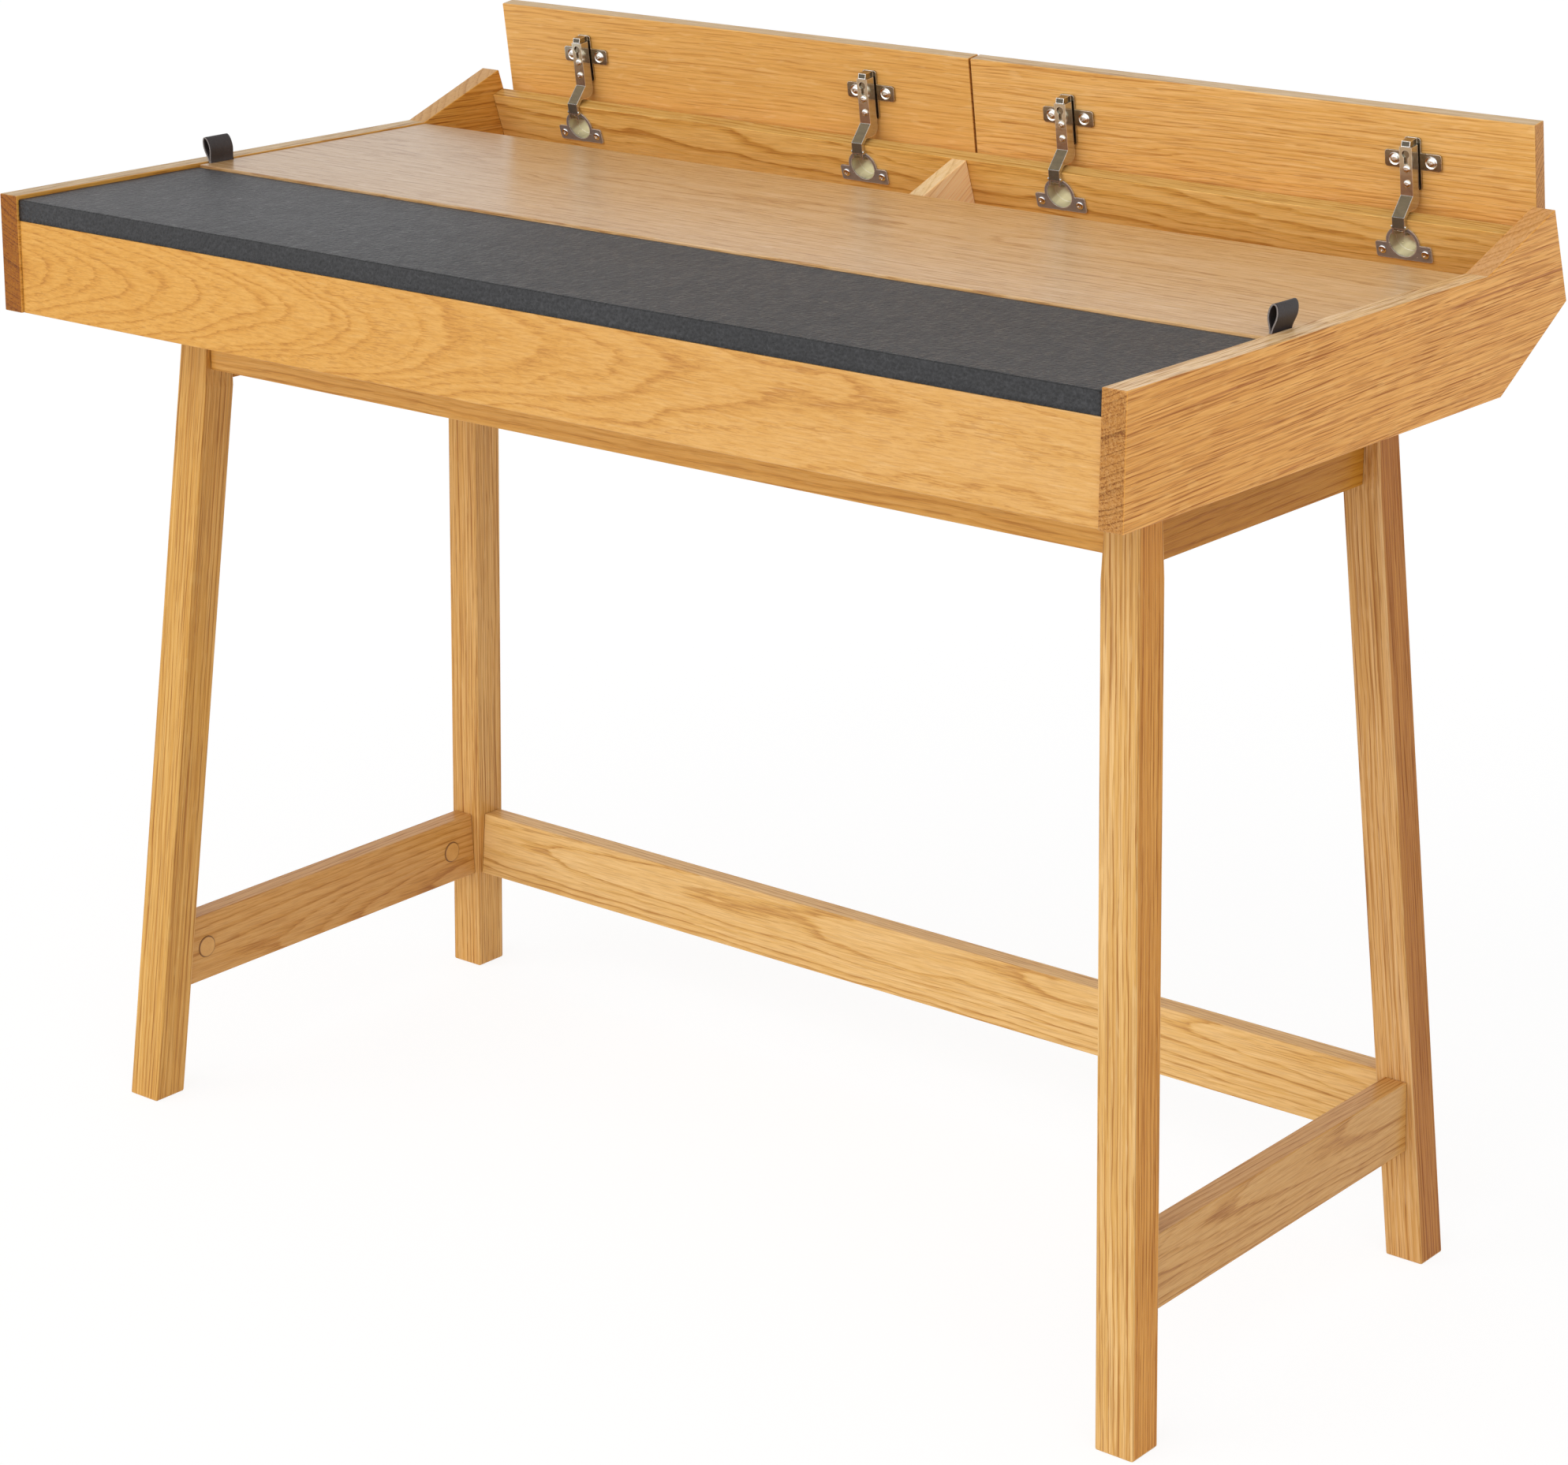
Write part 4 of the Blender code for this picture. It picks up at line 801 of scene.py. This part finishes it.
def dress_metal_and_caps():
    flap_foot = FLAP_PIN - FLAP_FACE * FLAP_OUT
    # Painted shade on the plates' hook ends.
    hook = (flap_foot, FLAP_OUT, HOOK_STAND, HOOK_END_SHADE)
    # Painted shade on the arms' knees.
    knee = (flap_foot, FLAP_OUT, KNEE_STAND, KNEE_SHADE)
    inside = (PANEL_TOP + EAR_STAND * PANEL_OUT, -PANEL_OUT, ZONE_EDGE, CUP_INSIDE)
    # Painted shade on the arms' cranked face.
    crank_shade = [(CRANK_OUT, CRANK_PAINTED_SHADE)]
    pressed = {
        "plate": metal_material("plate_nickel", PLATE_NICKEL, roughness=0.20, zone=hook),
        "cup": metal_material("cup_nickel", CUP_NICKEL, roughness=0.24, metallic=0.6, zone=inside),
        "arm": metal_material("arm_nickel", ARM_NICKEL, roughness=0.16, metallic=0.85, zone=knee,
                              painted_light=crank_shade),
    }
    nickel = metal_material("nickel", NICKEL, roughness=0.20)
    for number in range(1, len(HINGE_PLACES) + 1):
        dress(f"hinge_pin_{number}", nickel)
        for kind, material in pressed.items():
            dress(f"hinge_{kind}_{number}", material)
            soften_edges(NODES[f"hinge_{kind}_{number}"])
    for side in SIDES:
        dress(f"lid_pin_{side}", nickel)
        for end in ENDS:
            dress(f"plug_{side}_{end}", cap_material(f"plug_{side}_{end}"))


# Screws, as radius and height of their heads, and the dished washers under some
EAR_SCREW = (0.0034, 0.0013)
WING_SCREW = (0.0036, 0.0017)
ARM_SCREW = (0.0031, 0.0015)
DISH_INNER, DISH_OUTER, DISH_HEIGHT = 0.0036, 0.0053, 0.0007
TURNED_SEGMENTS = 40
# Profile of a head as shares of its radius and height
HEAD_PROFILE = ((1.0, 0.0), (1.0, 0.25), (0.95, 0.55), (0.80, 0.80), (0.55, 0.95), (0.25, 1.0))
RECESS_REACH, RECESS_WIDTH = 0.62, 0.26     # of the cross, as shares of the head's radius
RECESS_DEPTH = 0.55                         # as a share of the head's height
RECESS_TAPER = 0.55
SHARP_ANGLE = math.radians(40)
# Degrees that the screws are turned on from hinge to hinge, and from side to side or to a metre of height
EAR_TURN, EAR_SIDE_TURN = 25, 40
WING_TURN, WING_SIDE_TURN = 35, 25
ARM_TURN, ARM_HEIGHT_TURN = 50, 9000


def turned_rings(bm, profile):
    """Rings of points about Z, one for each (radius, height) pair."""
    turns = [2 * math.pi * i / TURNED_SEGMENTS for i in range(TURNED_SEGMENTS)]
    return [[bm.verts.new((radius * math.cos(t), radius * math.sin(t), height)) for t in turns]
            for radius, height in profile]


def join_rings(bm, rings):
    for lower, upper in zip(rings, rings[1:]):
        for i in range(TURNED_SEGMENTS):
            bm.faces.new((lower[i - 1], lower[i], upper[i], upper[i - 1]))


def head_shape(radius, height):
    """A domed screw head, closed by a flat foot and a tip."""
    bm = bmesh.new()
    rings = turned_rings(bm, [(radius * r, height * h) for r, h in HEAD_PROFILE])
    bm.faces.new(reversed(rings[0]))
    join_rings(bm, rings)
    tip = bm.verts.new((0, 0, height))
    for i in range(TURNED_SEGMENTS):
        bm.faces.new((rings[-1][i - 1], rings[-1][i], tip))
    return bm


def cross_recess(top, reach, width, depth):
    """The tapered cross that a driver fits, as a solid to cut away."""
    bm = bmesh.new()
    for turn in (0, 90):
        made = bmesh.ops.create_cube(bm, size=1)["verts"]
        for vert in made:
            share, height = (RECESS_TAPER, top - depth) if vert.co.z < 0 else (1.0, top + depth)
            vert.co = Vector((vert.co.x * 2 * reach * share, vert.co.y * width * share, height))
        bmesh.ops.rotate(bm, verts=made, matrix=Matrix.Rotation(math.radians(turn), 3, "Z"))
    return bm


def screw_mesh(name, radius, height):
    """A domed screw head with a cross recess."""
    recess = cross_recess(height, RECESS_REACH * radius, RECESS_WIDTH * radius, RECESS_DEPTH * height)
    head = add_object(name, mesh_from(head_shape(radius, height), name))
    cutter = add_object("recess", mesh_from(recess, "recess"))
    cut = head.modifiers.new("recess", "BOOLEAN")
    cut.object = cutter
    cut.solver = "EXACT"
    cut.use_self = True
    bpy.context.view_layer.update()
    shape = bpy.data.meshes.new_from_object(head.evaluated_get(bpy.context.evaluated_depsgraph_get()))
    for made in (head, cutter):
        bpy.data.objects.remove(made)
    return shape


def washer_mesh(name, inner, outer, height):
    """A dished ring that a screw sits in."""
    middle = (inner + outer) / 2
    profile = [(outer, 0), (0.97 * outer, 0.7 * height), ((middle + outer) / 2, height),
               (middle, 0.75 * height), (inner, 0.25 * height), (inner, 0)]
    bm = bmesh.new()
    rings = turned_rings(bm, profile)
    join_rings(bm, rings + rings[:1])
    return mesh_from(bm, name)


def stamp(bm, mesh, place, outward, degrees=0):
    """Adds a copy of a mesh with its Z pointing outward, turned about it."""
    before = len(bm.verts)
    bm.from_mesh(mesh)
    bm.verts.ensure_lookup_table()
    stand = outward.to_track_quat("Z", "X").to_matrix().to_4x4()
    matrix = Matrix.Translation(place) @ stand @ Matrix.Rotation(math.radians(degrees), 4, "Z")
    bmesh.ops.transform(bm, matrix=matrix, verts=bm.verts[before:])


def on_panel(x, drop, stand):
    return PANEL_TOP + x * X - drop * PANEL_UP + stand * PANEL_OUT


def on_flap(x, height, stand):
    return FLAP_PIN + x * X + (height - FLAP_EDGE) * FLAP_UP + (stand - FLAP_FACE) * FLAP_OUT


def finish_screws(name, bm, material, body):
    piece = new_piece(name, bm, [material])
    piece.data.set_sharp_from_angle(angle=SHARP_ANGLE)
    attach(piece, body)


def make_screws():
    """The screws of the cups' ears, of the plates' wings and of the arms, each turned to another angle."""
    zinc = metal_material("bright_zinc", BRIGHT_ZINC, roughness=0.20)
    ear_screw = screw_mesh("ear_screw", *EAR_SCREW)
    wing_screw = screw_mesh("wing_screw", *WING_SCREW)
    arm_screw = screw_mesh("arm_screw", *ARM_SCREW)
    dish = washer_mesh("dish", DISH_INNER, DISH_OUTER, DISH_HEIGHT)
    for number, x in enumerate(HINGE_PLACES, 1):
        ears = bmesh.new()
        for side in (-1, 1):
            place = on_panel(x + side * CUP_SCREWS / 2, CUP_SCREW_DROP, EAR_STAND)
            stamp(ears, ear_screw, place, PANEL_OUT, EAR_TURN * number + EAR_SIDE_TURN * side)
        finish_screws(f"cup_screws_{number}", ears, zinc, "desk")
        wings = bmesh.new()
        for side in (-1, 1):
            place = on_flap(x + side * PLATE_SCREWS / 2, PLATE_SCREW_HEIGHT, PLATE_STAND)
            stamp(wings, wing_screw, place, FLAP_OUT, WING_TURN * number + WING_SIDE_TURN * side)
            stamp(wings, dish, place, FLAP_OUT)
        for height in ARM_SCREW_HEIGHTS:
            place = on_flap(x + ARM_SCREW_SHIFT, height, ARM_STAND)
            stamp(wings, arm_screw, place, FLAP_OUT, ARM_TURN * number + ARM_HEIGHT_TURN * height)
        finish_screws(f"plate_screws_{number}", wings, zinc, "flap_left" if x < 0 else "flap_right")


# Stage and light

def sight(n):
    """1 where the camera, a mirror or glass looks at the surface, and 0 where it only gives light."""
    path = n.add("ShaderNodeLightPath", {}).node.outputs
    seen = n.math("ADD", path["Is Camera Ray"], path["Is Glossy Ray"])
    seen = n.math("ADD", seen, path["Is Transmission Ray"])
    return n.math("MINIMUM", seen, 1.0)


def make_floor():
    half = FLOOR_SIZE / 2
    rows = [[Vector((x, y, 0)) for x in (-half, half)] for y in (-half, half)]
    material, n, shader = new_material("floor", Roughness=1.0, Specular_IOR_Level=0.0)
    mottle = n.noise(n.place(), grey(FLOOR_MOTTLE), detail=3.0)
    tone = n.ramp(mottle, [(0.0, [FLOOR_SPOTS * c for c in FLOOR_COLOUR]), (1.0, FLOOR_COLOUR)])
    feed(material, shader, Base_Color=tone)
    glow = n.add("ShaderNodeEmission", {"Color": (1, 1, 1, 1), "Strength": FLOOR_WHITE})
    seen = n.math("MULTIPLY", sight(n), FLOOR_GLOW)
    look = n.add("ShaderNodeMixShader", {0: seen, 1: shader.outputs[0], 2: glow})
    end = material.node_tree.nodes["Material Output"]
    material.node_tree.links.new(look, end.inputs["Surface"])
    floor = new_piece("floor", grid(rows), [material], smooth=False)


def make_sky():
    world = bpy.data.worlds.new("sky")
    world.use_nodes = True
    sky = world.node_tree.nodes["Background"]
    sky.inputs["Color"].default_value = (1, 1, 1, 1)
    n = Nodes(world.node_tree)
    level = n.scaled(sight(n), 1 - SKY_LEVEL, SKY_LEVEL)
    height = n.dot(n.add("ShaderNodeTexCoord", {}, "Generated"), Z)
    level = n.math("MULTIPLY", level, n.step(height, CEILING_START, 1.0, 1.0, CEILING_LEVEL))
    world.node_tree.links.new(level, sky.inputs["Strength"])
    bpy.context.scene.world = world


def make_lamp(name, level, direction):
    data = bpy.data.lights.new(name, "SUN")
    data.energy = level
    data.angle = LAMP_ANGLE
    lamp = add_object(name, data)
    lamp.rotation_euler = direction.to_track_quat("Z", "Y").to_euler()


make_camera()
dress_box()
dress_flaps()
dress_divider()
dress_leg_frame()
dress_metal_and_caps()
make_leather()
for side, out in SIDES.items():
    make_tab(side, out)
make_screws()
make_floor()
make_sky()
make_lamp("key", KEY_LEVEL, KEY_FROM)
make_lamp("fill", FILL_LEVEL, FILL_FROM)
bpy.context.scene.view_settings.view_transform = "Standard"
